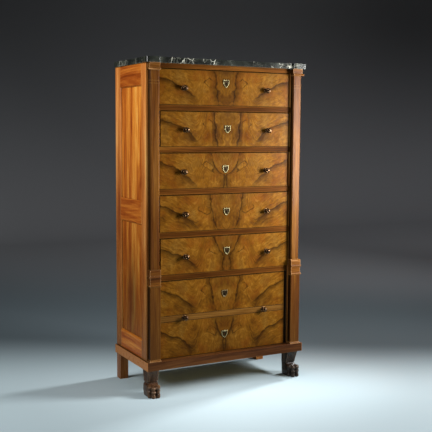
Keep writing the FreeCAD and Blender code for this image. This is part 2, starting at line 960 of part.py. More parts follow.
def knob(x, z):
    """A turned knob with a spread foot, a neck and a flattened ball, on its shank."""
    ball = (knob_reach + knob_neck_reach) / 2
    profile = [
        (knob_foot_radius, 0),
        (knob_neck_radius, knob_neck_reach),
        (knob_radius, ball),
        (knob_radius * 0.9, (ball + knob_reach) / 2),
        (knob_radius * 0.5, knob_reach),
    ]
    body = turned(Vector(x, front, z), Vector(0, -1, 0), Vector(1, 0, 0), knob_sides, profile)
    return body.fuse(knob_shank(x, z))


def drawer(low, high, faces, keys, knobs):
    """Every piece of one drawer, by the last part of its node's name."""
    middle = sum(faces) / 2
    top = high - front_top_gap
    lining_levels = (low + running_clearance, high - lining_top_gap)
    knob_reach_out, knob_height = knobs
    knob_places = [(middle - knob_reach_out, knob_height), (middle + knob_reach_out, knob_height)]
    cutters = [lock_blank(middle, top), keyhole(middle, keys[0])]
    cutters += [knob_shank(x, z) for x, z in knob_places]
    face = front_board(faces, low + front_bottom_gap, top, lining_levels)
    for cutter in cutters:
        face = face.cut(cutter)
    plates = [escutcheon(middle, key) for key in keys]
    return {
        "front": face,
        "linings": drawer_linings(faces, *lining_levels),
        "bottom": bottom_blank(faces, lining_levels[0]),
        "knobs": group([knob(x, z) for x, z in knob_places]),
        "lock": group([lock_body(middle, keys[0], top)] + plates),
        "bolt": bolt(middle, top),
    }


def single_drawer(index):
    """One of the five single drawers, counted from the top."""
    low, high = drawer_opening_levels()[index]
    middle = (low + high) / 2
    return drawer(low, high, drawer_sides(front_side_gap, front_shifts[index]),
                  [middle + escutcheon_rises[index]], (knob_offset, middle - knob_drop))


def deep_drawer():
    """The deep drawer, dressed as two by a false rail scored across its front."""
    left, right = drawer_sides(deep_front_side_gap, deep_front_shift)
    pieces = drawer(plinth_top, deep_opening_top, (left, right),
                    [deep_opening_top - deep_keyhole_drop, false_keyhole_height],
                    (deep_knob_offset, band_centre))
    for side in (-1, 1):
        height = band_centre + side * band_height / 2
        score = block(left - cutter_margin, right + cutter_margin,
                      front - cutter_margin, front + band_groove_depth,
                      height - band_groove_width / 2, height + band_groove_width / 2)
        pieces["front"] = pieces["front"].cut(score)
    return pieces


# ================================================================ the nodes
def carcass_nodes():
    """Every fixed piece by its node's name."""
    nodes = {
        "marble_top": marble_slab(),
        "top_board": top_board(),
        "top_rail": top_rail(),
        "drawer_rails": drawer_rails(),
        "drawer_runners": runners(),
        "drawer_stops": drawer_stops(),
        "plinth": plinth(),
        "bottom_board": bottom_board(),
        "back_frame": back_frame(),
        "back_panels": back_panels(),
    }
    paired = {
        "corner_post": corner_post(),
        "rear_post": rear_post(),
        "side_rails": side_rails(),
        "side_panels": side_panels(),
        "pilaster": pilaster(),
        "pilaster_mouldings": pilaster_mouldings(),
        "paw_foot": paw_foot(),
    }
    for name, shape in paired.items():
        nodes["left_" + name] = shape
        nodes["right_" + name] = mirrored(shape)
    return nodes


def drawer_nodes():
    """Every piece of the six drawers by its node's name."""
    nodes = {}
    for index in range(len(opening_heights)):
        for name, shape in single_drawer(index).items():
            nodes["drawer_%d_%s" % (index + 1, name)] = shape
    for name, shape in deep_drawer().items():
        nodes["deep_drawer_" + name] = shape
    return nodes


def main():
    """Writes one STEP file for each node."""
    os.makedirs("parts", exist_ok=True)
    nodes = carcass_nodes()
    nodes.update(drawer_nodes())
    for name, shape in nodes.items():
        shape.exportStep("parts/%s.step" % name)
    print(len(nodes), "nodes")


main()
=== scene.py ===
"""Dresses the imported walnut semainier: finishes for every piece of the case and drawers, carved
paw feet, brass keyhole plates and turned knobs, with a plain studio round them.  Metres, +Z up,
the drawers face -Y.
"""

from __future__ import annotations

import json
import logging
import math
from dataclasses import dataclass, replace
from enum import Enum
from typing import Callable, NamedTuple, Sequence

import bmesh
import bpy
from mathutils import Matrix, Vector

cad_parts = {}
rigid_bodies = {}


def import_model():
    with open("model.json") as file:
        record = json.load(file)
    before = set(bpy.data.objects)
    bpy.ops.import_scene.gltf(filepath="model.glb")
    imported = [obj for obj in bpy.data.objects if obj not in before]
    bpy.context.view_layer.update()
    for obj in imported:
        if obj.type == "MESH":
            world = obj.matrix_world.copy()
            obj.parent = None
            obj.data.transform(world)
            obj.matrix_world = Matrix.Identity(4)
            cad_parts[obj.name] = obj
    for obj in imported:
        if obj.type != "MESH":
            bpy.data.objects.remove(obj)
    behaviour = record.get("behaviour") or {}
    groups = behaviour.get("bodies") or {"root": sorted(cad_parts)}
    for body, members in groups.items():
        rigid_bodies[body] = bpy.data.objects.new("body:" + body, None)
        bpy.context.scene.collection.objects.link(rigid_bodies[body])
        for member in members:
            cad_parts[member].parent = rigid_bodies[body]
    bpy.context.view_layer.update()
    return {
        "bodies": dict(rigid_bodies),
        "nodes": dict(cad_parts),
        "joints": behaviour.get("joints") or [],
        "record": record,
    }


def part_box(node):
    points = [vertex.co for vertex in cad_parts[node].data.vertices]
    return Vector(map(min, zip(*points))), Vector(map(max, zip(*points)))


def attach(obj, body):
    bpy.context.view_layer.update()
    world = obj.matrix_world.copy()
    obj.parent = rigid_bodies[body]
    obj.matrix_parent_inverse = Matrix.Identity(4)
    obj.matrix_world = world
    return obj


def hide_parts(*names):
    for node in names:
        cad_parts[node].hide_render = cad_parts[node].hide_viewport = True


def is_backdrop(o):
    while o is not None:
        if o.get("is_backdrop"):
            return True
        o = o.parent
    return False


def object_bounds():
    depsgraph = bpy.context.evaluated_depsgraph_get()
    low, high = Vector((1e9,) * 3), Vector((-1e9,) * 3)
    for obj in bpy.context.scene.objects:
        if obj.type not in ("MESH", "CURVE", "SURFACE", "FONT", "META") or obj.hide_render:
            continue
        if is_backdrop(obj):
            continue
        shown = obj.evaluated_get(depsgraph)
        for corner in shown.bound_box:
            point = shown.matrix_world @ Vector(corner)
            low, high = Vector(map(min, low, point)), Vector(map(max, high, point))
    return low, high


LOG = logging.getLogger("semainier")

Colour = tuple[float, float, float, float]

MILLIMETRE = 0.001
DEEP_BAND = (0.330, 0.356)
PLATE_GAP = 0.05


class Bell(NamedTuple):
    """The dark-edged bell of the figure round a keyhole, in metres.

    Attributes:
        stem: Half the width of its stem.
        start: Height above the leaf's bottom edge at which it opens.
        opening: How much wider each half is at BELL_RISE above that.
    """

    stem: float
    start: float
    opening: float


BELL_RISE = 0.12
BELLS = {
    "drawer_1": (Bell(0.036, 0.020, 0.022),),
    "drawer_2": (Bell(0.048, 0.000, 0.014),),
    "drawer_3": (Bell(0.013, 0.065, 0.075),),
    "drawer_4": (Bell(0.038, 0.000, 0.048),),
    "drawer_5": (Bell(0.021, 0.080, 0.052),),
    "deep_drawer": (Bell(0.002, 0.070, 0.064), Bell(0.036, 0.000, 0.034)),
}


def tint(code: str) -> Colour:
    """Turns a six-digit display colour into the linear colour that shaders take.

    Args:
        code: Red, green and blue as hexadecimal pairs.

    Returns:
        The linear colour with an alpha of one.
    """
    linear = []
    for start in (0, 2, 4):
        shown = int(code[start:start + 2], 16) / 255
        linear.append(shown / 12.92 if shown <= 0.04045 else ((shown + 0.055) / 1.055) ** 2.4)
    return (linear[0], linear[1], linear[2], 1.0)


# ------------------------------------------------------------------ shader arithmetic
class Field:
    """A value that varies over a surface: one output of a shader tree, with arithmetic."""

    def __init__(self, net: Net, socket: bpy.types.NodeSocket) -> None:
        """Remembers the tree and the socket."""
        self.net = net
        self.socket = socket

    def math(self, operation: str, *others: Value) -> Field:
        """Joins this value and others with one Math node.

        Args:
            operation: The Math node's operation.
            others: The further operands.

        Returns:
            The node's result.
        """
        node = self.net.node("Math", operation=operation)
        for socket, value in zip(node.inputs, (self, *others)):
            self.net.feed(socket, value)
        return Field(self.net, node.outputs[0])

    def __add__(self, other: Value) -> Field:
        """Sum."""
        return self.math("ADD", other)

    def __sub__(self, other: Value) -> Field:
        """Difference."""
        return self.math("SUBTRACT", other)

    def __mul__(self, other: Value) -> Field:
        """Product."""
        return self.math("MULTIPLY", other)

    def __truediv__(self, other: Value) -> Field:
        """Quotient."""
        return self.math("DIVIDE", other)

    def __abs__(self) -> Field:
        """Distance from nought."""
        return self.math("ABSOLUTE")

    def above(self, limit: Value) -> Field:
        """One where the value is over a limit, nought elsewhere."""
        return self.math("GREATER_THAN", limit)

    def most(self, other: Value) -> Field:
        """The larger of two values."""
        return self.math("MAXIMUM", other)

    def wave(self, turns: float) -> Field:
        """A sine of the value that makes so many turns for each unit."""
        return (self * (turns * math.tau)).math("SINE")

    def rise(self, low: float, high: float, bottom: float = 0.0, top: float = 1.0) -> Field:
        """Maps the value smoothly from one range to another and stops it at both ends.

        Args:
            low: The value that gives the bottom.
            high: The value that gives the top.
            bottom: Lowest result.
            top: Highest result.

        Returns:
            The mapped value.
        """
        node = self.net.node("MapRange", interpolation_type="SMOOTHSTEP", inputs={
            "Value": self, "From Min": low, "From Max": high, "To Min": bottom, "To Max": top})
        return Field(self.net, node.outputs["Result"])

    def line(self, centre: Value, width: float) -> Field:
        """One where the value is at a centre, and nought a width away from it."""
        return abs(self - centre).rise(0.0, width, 1.0, 0.0)


Value = Field | float


class Net:
    """A shader tree with short ways to add and join its nodes."""

    def __init__(self, tree: bpy.types.NodeTree) -> None:
        """Remembers the tree."""
        self.tree = tree

    def node(self, kind: str, inputs: dict | None = None, **settings: object) -> bpy.types.Node:
        """Adds a node.

        Args:
            kind: The node's type, without its ShaderNode prefix.
            inputs: Values or fields for its sockets, by name or number.
            settings: Properties of the node.

        Returns:
            The node.
        """
        node = self.tree.nodes.new("ShaderNode" + kind)
        for name, value in settings.items():
            setattr(node, name, value)
        for key, value in (inputs or {}).items():
            self.feed(node.inputs[key], value)
        return node

    def feed(self, socket: bpy.types.NodeSocket, value: object) -> None:
        """Links a field to a socket, or sets the socket to a plain value.

        Args:
            socket: The input socket.
            value: The field or the plain value.
        """
        if isinstance(value, Field):
            self.tree.links.new(value.socket, socket)
        else:
            socket.default_value = value

    def place(self) -> Field:
        """Object coordinates."""
        return Field(self, self.node("TexCoord").outputs["Object"])

    def split(self, vector: Field) -> tuple[Field, Field, Field]:
        """The three parts of a vector."""
        node = self.node("SeparateXYZ", inputs={0: vector})
        return tuple(Field(self, output) for output in node.outputs)

    def vector(self, x: Value, y: Value, z: Value) -> Field:
        """A vector of three parts."""
        return Field(self, self.node("CombineXYZ", inputs={0: x, 1: y, 2: z}).outputs[0])

    def stretch(self, vector: Field, scale: Sequence[float],
                shift: Sequence[float] = (0.0, 0.0, 0.0)) -> Field:
        """A vector scaled and then shifted along each axis.

        Args:
            vector: The vector.
            scale: Factor for each axis.
            shift: Distance for each axis.

        Returns:
            The new vector.
        """
        node = self.node("Mapping", inputs={"Vector": vector, "Scale": scale, "Location": shift})
        return Field(self, node.outputs[0])

    def noise(self, vector: Field, scale: float, detail: float = 2.0, roughness: float = 0.5,
              distortion: float = 0.0) -> Field:
        """Smooth noise between nought and one.

        Args:
            vector: Place in the noise.
            scale: How fine it is.
            detail: Number of finer layers.
            roughness: How much the finer layers show.
            distortion: How much it is bent.

        Returns:
            The noise.
        """
        node = self.node("TexNoise", inputs={
            "Vector": vector, "Scale": scale, "Detail": detail, "Roughness": roughness,
            "Distortion": distortion})
        return Field(self, node.outputs["Fac"])

    def moved_noise(self, vector: Field, shift: Sequence[float], scale: float,
                    detail: float = 2.0, roughness: float = 0.5) -> Field:
        """The same noise at another place, so that it doesn't follow the first.

        Args:
            vector: Place in the noise.
            shift: How far the place is moved.
            scale: How fine it is.
            detail: Number of finer layers.
            roughness: How much the finer layers show.

        Returns:
            The noise.
        """
        moved = self.stretch(vector, (1, 1, 1), shift)
        return self.noise(moved, scale, detail, roughness)

    def cells(self, vector: Field, scale: float, feature: str = "F1") -> Field:
        """Distance to scattered points, or to the borders between them.

        Args:
            vector: Place among the points.
            scale: How close together they are.
            feature: The Voronoi node's feature.

        Returns:
            The distance.
        """
        node = self.node("TexVoronoi", feature=feature, inputs={"Vector": vector, "Scale": scale})
        return Field(self, node.outputs["Distance"])

    def ramp(self, value: Field, stops: Sequence[tuple[float, str]]) -> Field:
        """Colours a value.

        Args:
            value: The value, from nought to one.
            stops: Places along it with their display colours.

        Returns:
            The colour.
        """
        node = self.node("ValToRGB", inputs={0: value})
        line = node.color_ramp
        while len(line.elements) < len(stops):
            line.elements.new(0.5)
        for element, (position, code) in zip(line.elements, stops):
            element.position = position
            element.color = tint(code)
        return Field(self, node.outputs["Color"])

    def mix(self, share: Value, first: Field | Colour, second: Field | Colour,
            blend: str = "MIX") -> Field:
        """Mixes two colours by a share.

        Args:
            share: How much of the second shows.
            first: The first colour.
            second: The second colour.
            blend: The Mix node's way of mixing.

        Returns:
            The mixed colour.
        """
        node = self.node("Mix", data_type="RGBA", blend_type=blend,
                         inputs={0: share, 6: first, 7: second})
        return Field(self, node.outputs[2])

    def bump(self, height: Field, strength: float, distance: float) -> Field:
        """A normal that follows a height.

        Args:
            height: The height, from nought to one.
            strength: How much of it shows.
            distance: Depth of the whole height, in metres.

        Returns:
            The normal.
        """
        node = self.node("Bump", inputs={
            "Height": height, "Strength": strength, "Distance": distance})
        return Field(self, node.outputs[0])


class Group:
    """A shader node group that several finishes share, built once."""

    made: dict[str, bpy.types.NodeTree] = {}

    @classmethod
    def place(cls, net: Net, name: str, inputs: dict[str, Value],
              build: Callable[[Net, dict[str, Field]], dict[str, Field]]) -> dict[str, Field]:
        """Puts the group into a tree, and builds it first if it is new.

        Args:
            net: The tree that takes the group.
            name: The group's name.
            inputs: Values for its inputs; the one called Vector takes coordinates.
            build: Makes the group's nodes from its inputs and returns its outputs.

        Returns:
            The outputs in the tree, by name.
        """
        if name not in cls.made:
            tree = bpy.data.node_groups.new(name, "ShaderNodeTree")
            for key in inputs:
                kind = "NodeSocketVector" if key == "Vector" else "NodeSocketFloat"
                tree.interface.new_socket(key, in_out="INPUT", socket_type=kind)
            inner = Net(tree)
            source = tree.nodes.new("NodeGroupInput")
            made = build(inner, {key: Field(inner, source.outputs[key]) for key in inputs})
            for key in made:
                tree.interface.new_socket(key, in_out="OUTPUT", socket_type="NodeSocketFloat")
            target = tree.nodes.new("NodeGroupOutput")
            for key, value in made.items():
                inner.feed(target.inputs[key], value)
            cls.made[name] = tree
        node = net.node("Group", node_tree=cls.made[name], inputs=inputs)
        return {socket.name: Field(net, socket) for socket in node.outputs}


# ------------------------------------------------------------------ shared wood effects
def build_grain(net: Net, given: dict[str, Field]) -> dict[str, Field]:
    """Straight grain that runs along the third coordinate.

    Args:
        net: The group's tree.
        given: Vector, with its third part along the grain, Wander and Ring Pitch.

    Returns:
        Tone, Streak and Pore.
    """
    vector = given["Vector"]
    across, depth, along = net.split(vector)
    slow = net.noise(net.stretch(vector, (1, 1, 0.22)), 5.0, 2.0)
    sway = (slow - 0.5) * given["Wander"]
    flow = net.vector(across + sway, depth, along)
    broad = net.noise(net.stretch(flow, (1, 1, 0.09)), 22.0, 3.0, 0.6)
    rings = ((across + depth * 0.6 + sway * 3.0) / given["Ring Pitch"] + slow * 5.0).wave(1.0)
    fibre = net.noise(net.stretch(flow, (1, 1, 0.03)), 420.0, 2.0, 0.6)
    pores = net.noise(net.stretch(flow, (1, 1, 0.05)), 900.0, 1.0)
    tone = broad * 0.8 + rings * 0.03 + fibre * 0.2
    return {
        "Tone": tone,
        "Streak": net.noise(net.stretch(flow, (1, 1, 0.12)), 60.0, 2.0),
        "Pore": pores.rise(0.62, 0.72),
    }


def build_figure(net: Net, given: dict[str, Field]) -> dict[str, Field]:
    """Crotch figure mirrored about the middle: a bell with a dark edge round the keyhole, and a
    slanting vein from each end of the front down past the knob.

    Args:
        net: The group's tree.
        given: Vector, from the middle of the leaf's bottom edge, with the leaf's number as y;
            Stem, half the width of the bell's stem; Start, the height where the bell opens; and
            Wide, how far it opens.

    Returns:
        Tone, Vein, Shade, Blush, Pore and Ripple.
    """
    vein_start, vein_run, vein_rise = 0.157, 0.177, 0.027
    knob, knob_height = 0.195, 0.035
    x, leaf, z = net.split(given["Vector"])
    side = abs(x)
    plane = net.vector(side, leaf, z)
    push = net.noise(plane, 10.0, 3.0, 0.6) - 0.5
    lift = net.moved_noise(plane, (7.3, 2.1, 4.4), 10.0, 3.0, 0.6) - 0.5
    small = net.moved_noise(plane, (3.1, 5.7, 1.2), 34.0, 3.0, 0.6) - 0.5
    reach = side + push * 0.055 + small * 0.024
    height = z + lift * 0.045 + small * 0.02
    opening = ((height - given["Start"]) / BELL_RISE).most(0.0).math("SQRT")
    within = reach - given["Stem"] - given["Wide"] * opening
    slope = (reach - vein_start) / vein_run
    below = slope * 0.15 - slope * slope * 0.057 + vein_rise - height
    outer = side.rise(0.09, 0.17)
    flow = within + (below - within) * outer
    wander = net.moved_noise(plane, (1.7, 8.1, 6.6), 17.0, 3.0, 0.55)
    broken = wander.rise(0.34, 0.5, 0.3, 1.0)
    edge = within.line(0.0, 0.0075).most(within.rise(0.0, 0.030, 0.6, 0.0) * within.above(0.0))
    edge = edge * broken * side.rise(0.10, 0.15, 1.0, 0.0)
    lobe = (abs(within - 0.030) + abs(height - 0.10)).line(0.026, 0.006)
    slant = below.line(0.001, 0.0075).most(below.rise(0.0, 0.034, 0.75, 0.0) * below.above(0.0))
    slant = slant * side.rise(0.12, 0.19)
    steps = (flow / 0.021 + wander * 2.6).math("FRACT")
    contour = steps.rise(0.0, 0.12) * steps.rise(0.12, 0.6, 1.0, 0.0)
    patches = net.moved_noise(plane, (4.4, 3.3, 2.2), 11.0, 3.0, 0.55)
    near = abs(flow).rise(0.0, 0.06, 1.0, 0.25)
    mottle = net.noise(net.vector(reach, leaf, height), 42.0, 4.0, 0.6)
    grains = net.noise(net.vector(flow * 1.8, leaf, side * 0.35 + z * 0.35), 80.0, 3.0, 0.6)
    fleck = net.noise(net.vector(flow * 2.4, leaf, side * 0.3 + z * 0.3), 300.0, 2.0, 0.7)
    stem = within.rise(-0.004, 0.002, 1.0, 0.0) * height.rise(0.0, 0.02) * (
        given["Start"] - height).rise(-0.01, 0.01)
    top = side.rise(0.0, 0.13, 1.0, 0.0) * height.rise(0.0, 0.16, 0.45, 1.0)
    knee = abs(side - knob).rise(0.0, 0.085, 1.0, 0.0) * abs(
        height - knob_height).rise(0.0, 0.06, 1.0, 0.0)
    lines = (contour * near * wander.rise(0.42, 0.58) * 0.5).most(
        lobe * patches.rise(0.44, 0.54) * 0.85)
    shade = (top * 0.9).most(knee * 0.8).most(stem * 0.9).most(patches.rise(0.51, 0.64) * 0.65)
    pores = net.noise(net.vector(flow, leaf, side * 0.12 + z * 0.1), 900.0, 1.0)
    return {
        "Tone": patches * 0.38 + mottle * 0.22 + grains * 0.24 + fleck * 0.16,
        "Vein": edge.most(slant).most(lines),
        "Shade": shade,
        "Blush": net.moved_noise(plane, (9.1, 6.2, 5.3), 15.0),
        "Pore": pores.rise(0.58, 0.72),
        "Ripple": net.noise(net.vector(side * 0.4, leaf, flow * 1.6 + side * 0.5), 150.0, 1.0),
    }


def build_hollow_masks(net: Net, given: dict[str, Field]) -> dict[str, Field]:
    """Masks of the hollows and of the edges: for grime and painted shade in hollows, tarnish in
    metal's hollows, and for rubbing and painted highlight on edges.

    Args:
        net: The group's tree.
        given: Reach, the width of both effects in metres.

    Returns:
        Crevice and Edge.
    """
    hollow = net.node("AmbientOcclusion", samples=6, inputs={"Distance": given["Reach"]})
    rim = net.node("AmbientOcclusion", samples=6, inside=True, inputs={"Distance": given["Reach"]})
    return {
        "Crevice": Field(net, hollow.outputs["AO"]).rise(0.35, 0.95, 1.0, 0.0),
        "Edge": Field(net, rim.outputs["AO"]).rise(0.35, 0.85, 1.0, 0.0),
    }


def grain(net: Net, vector: Field, wander: float, pitch: float) -> dict[str, Field]:
    """Places the straight grain group in a tree."""
    given = {"Vector": vector, "Wander": wander, "Ring Pitch": pitch}
    return Group.place(net, "straight_grain", given, build_grain)


def figure(net: Net, vector: Field, bell: Sequence[Value]) -> dict[str, Field]:
    """Places the mirrored figure group in a tree."""
    given = {"Vector": vector, **dict(zip(("Stem", "Start", "Wide"), bell))}
    return Group.place(net, "mirrored_figure", given, build_figure)


def hollow_masks(net: Net, reach: float) -> dict[str, Field]:
    """Places the group of hollow and edge masks in a tree."""
    return Group.place(net, "hollow_and_edge_group", {"Reach": reach}, build_hollow_masks)


class Along(Enum):
    """The way a board's grain runs."""

    WIDTH = "x"
    DEPTH = "y"
    HEIGHT = "z"

    def turned(self, net: Net, vector: Field) -> Field:
        """Coordinates with the third part along the grain.

        Args:
            net: The material's tree.
            vector: Object coordinates.

        Returns:
            The turned coordinates.
        """
        x, y, z = net.split(vector)
        if self is Along.WIDTH:
            return net.vector(z, y, x)
        if self is Along.DEPTH:
            return net.vector(x, z, y)
        return net.vector(x, y, z)


# ------------------------------------------------------------------ finishes
TONE_STEPS = (0.30, 0.44, 0.58, 0.74)
FLOOR_SHADE_HEIGHTS = (0.05, 1.3)
PORE_DEPTH = 0.0003
VENEER_DEPTH = 0.0003
EDGE_DEPTH = 0.021
LEAF_STEP = 0.043

# The next four colours are painted shade: in hollows together with grime, towards the floor, in
# recesses, and on the pilasters' flanks.
HOLLOW_GRIME_AND_SHADE = "120904"
FLOOR_SHADE = "260d03"
RECESS_SHADE = "1a0d05"
FLANK_SHADE = "120803"
HEARTWOOD = "3c1408"
PALE_END = "c98347"
BLUSH = "63320a"
CLOUD = "2a1908"
VEIN = "170a02"
LEAF_PORE = "2e1908"
# The next three colours: painted shadow lines at the faces' edges, dark leaf joints with painted
# shade in the gaps, and painted shade on the solid fronts' edges.
GAP_SHADOW_LINE = "160a03"
JOINT_AND_GAP_SHADE = "1d1009"
EDGE_FACE_SHADE = "201006"
RUBBED_LEAF = "9c7236"
WHITE_VEIN = "d6d4c2"
GREY_VEIN = "98998a"
RUBBED_MARBLE = "8a918d"
TARNISH = "120c07"
WALNUT_FIGURE = (
    (0.32, "331d07"), (0.42, "513009"), (0.50, "66400e"), (0.58, "7d541a"), (0.70, "9b702c"))
WALNUT_BOARD = ((0.32, "341d08"), (0.46, "482b0e"), (0.62, "5f3d17"))
WALNUT_BAND = ((0.32, "41270b"), (0.46, "573713"), (0.62, "6f4c20"))
GREY_CLOUDS = ((0.30, "0b0c0b"), (0.46, "161814"), (0.58, "252822"), (0.70, "48493f"))


@dataclass(frozen=True)
class Finish:
    """A surface finish; subclasses colour it.

    Attributes:
        name: The material's name.
        roughness: Roughness of the plain surface.
    """

    name: str
    roughness: float = 0.3

    def material(self) -> bpy.types.Material:
        """Builds the material, or finds it if it is built.

        Returns:
            The material.
        """
        found = bpy.data.materials.get(self.name)
        if found is not None:
            return found
        made = bpy.data.materials.new(self.name)
        made.use_nodes = True
        tree = made.node_tree
        tree.nodes.clear()
        net = Net(tree)
        shader = net.node("BsdfPrincipled", inputs={"Roughness": self.roughness})
        output = net.node("OutputMaterial")
        tree.links.new(shader.outputs[0], output.inputs[0])
        self.dress(net, shader)
        return made

    def dress(self, net: Net, shader: bpy.types.Node) -> None:
        """Colours the surface.

        Args:
            net: The material's tree.
            shader: Its surface shader.
        """
        raise NotImplementedError


@dataclass(frozen=True)
class PlainWood(Finish):
    """Straight-grained wood.

    Attributes:
        tones: Four display colours, dark to light.
        along: The way the grain runs.
        shift: Moves the pattern, so that pieces differ.
        pitch: Distance between growth rings, in metres.
        wander: How far the grain strays from straight, in metres.
        gleam: Strength of the reflections.
        hollow_grime_and_shade: Strength of the darkening in hollows and corners, partly grime and
            partly painted shade.
        floor_shade: How much darker the wood is painted at the floor than at the top of the chest,
            as painted shade.
        recess_shade_depth: Depth up to which the wood is painted near-black as shade in a recess,
            or nothing.
        returns: Depths behind which the sides are painted dark as shade on the pilasters' flanks,
            below and above the height of the collar, or nothing.
        heart: Depth and height of the middle of a dark streak of heartwood, or nothing.
        ends: Distance from the middle beyond which the wood is redder and paler, or nothing.
        crevice: Width of the painted shade and grime in hollows and of the paler edges, in metres.
        rubbed: How much paler the edges are, partly from rubbing and partly as painted highlight.
    """

    tones: tuple[str, str, str, str] = ("3a2112", "64401f", "8a5a2c", "ad7a42")
    along: Along = Along.HEIGHT
    shift: tuple[float, float, float] = (0.0, 0.0, 0.0)
    pitch: float = 0.012
    wander: float = 0.03
    gleam: float = 0.12
    hollow_grime_and_shade: float = 0.7
    floor_shade: float = 0.0
    recess_shade_depth: float | None = None
    returns: tuple[float, float, float] | None = None
    heart: tuple[float, float] | None = None
    ends: float | None = None
    crevice: float = 0.006
    rubbed: float = 0.25

    def dress(self, net: Net, shader: bpy.types.Node) -> None:
        """Grain, pores, painted shade and grime in the corners, and paler edges from rubbing and
        painted highlight.

        Args:
            net: The material's tree.
            shader: Its surface shader.
        """
        place = net.place()
        vector = net.stretch(self.along.turned(net, place), (1, 1, 1), self.shift)
        wood = grain(net, vector, self.wander, self.pitch)
        hollow_edge = hollow_masks(net, self.crevice)
        dark, *_, pale = self.tones
        colour = net.ramp(wood["Tone"], tuple(zip(TONE_STEPS, self.tones)))
        colour = net.mix(wood["Pore"] * 0.35, colour, tint(dark))
        colour = self.marks(net, place, wood["Streak"], colour)
        # Painted shade with grime: hollows and corners darkened through an ambient occlusion mask.
        colour = net.mix(hollow_edge["Crevice"] * self.hollow_grime_and_shade, colour, tint(HOLLOW_GRIME_AND_SHADE))
        # Paler edges: rubbing, and on the pilasters, mouldings, rails and paws also painted
        # highlight.
        colour = net.mix(hollow_edge["Edge"] * self.rubbed, colour, tint(pale))
        gloss = wood["Streak"].rise(0.3, 0.7, self.roughness - 0.05, self.roughness + 0.08)
        relief = wood["Pore"] * -1.0 + wood["Streak"] * 0.3
        net.feed(shader.inputs["Base Color"], colour)
        net.feed(shader.inputs["Roughness"], gloss + hollow_edge["Crevice"] * 0.3)
        net.feed(shader.inputs["Specular IOR Level"], self.gleam)
        net.feed(shader.inputs["Normal"], net.bump(relief, 0.25, PORE_DEPTH))

    def marks(self, net: Net, place: Field, streak: Field, colour: Field) -> Field:
        """Adds what is dark or pale on this piece alone.

        Args:
            net: The material's tree.
            place: Object coordinates.
            streak: The streaks of the grain.
            colour: The wood's colour.

        Returns:
            The colour with its marks.
        """
        x, y, z = net.split(place)
        # Painted shade: darker towards the floor.
        colour = net.mix(z.rise(*FLOOR_SHADE_HEIGHTS, self.floor_shade, 0.0), colour, tint(FLOOR_SHADE))
        # Painted shade: near-black front strip where it shows in a recess.
        if self.recess_shade_depth is not None:
            colour = net.mix(y.above(self.recess_shade_depth), tint(RECESS_SHADE), colour)
        # Painted shade: dark flanks behind the pilasters' chamfered fronts.
        if self.returns is not None:
            lower, upper, collar = self.returns
            depth = z.above(collar) * (upper - lower) + lower
            colour = net.mix(y.above(depth) * 0.85, colour, tint(FLANK_SHADE))
        if self.heart is not None:
            depth, height = self.heart
            sway = streak - 0.5
            tall = abs(z - height + sway * 0.2).rise(0.02, 0.30, 1.0, 0.0)
            wide = abs(y - depth + sway * 0.06).rise(0.01, 0.08, 1.0, 0.0)
            colour = net.mix(tall * wide * 0.6, colour, tint(HEARTWOOD))
        if self.ends is not None:
            colour = net.mix(abs(x).above(self.ends) * 0.65, colour, tint(PALE_END))
        return colour


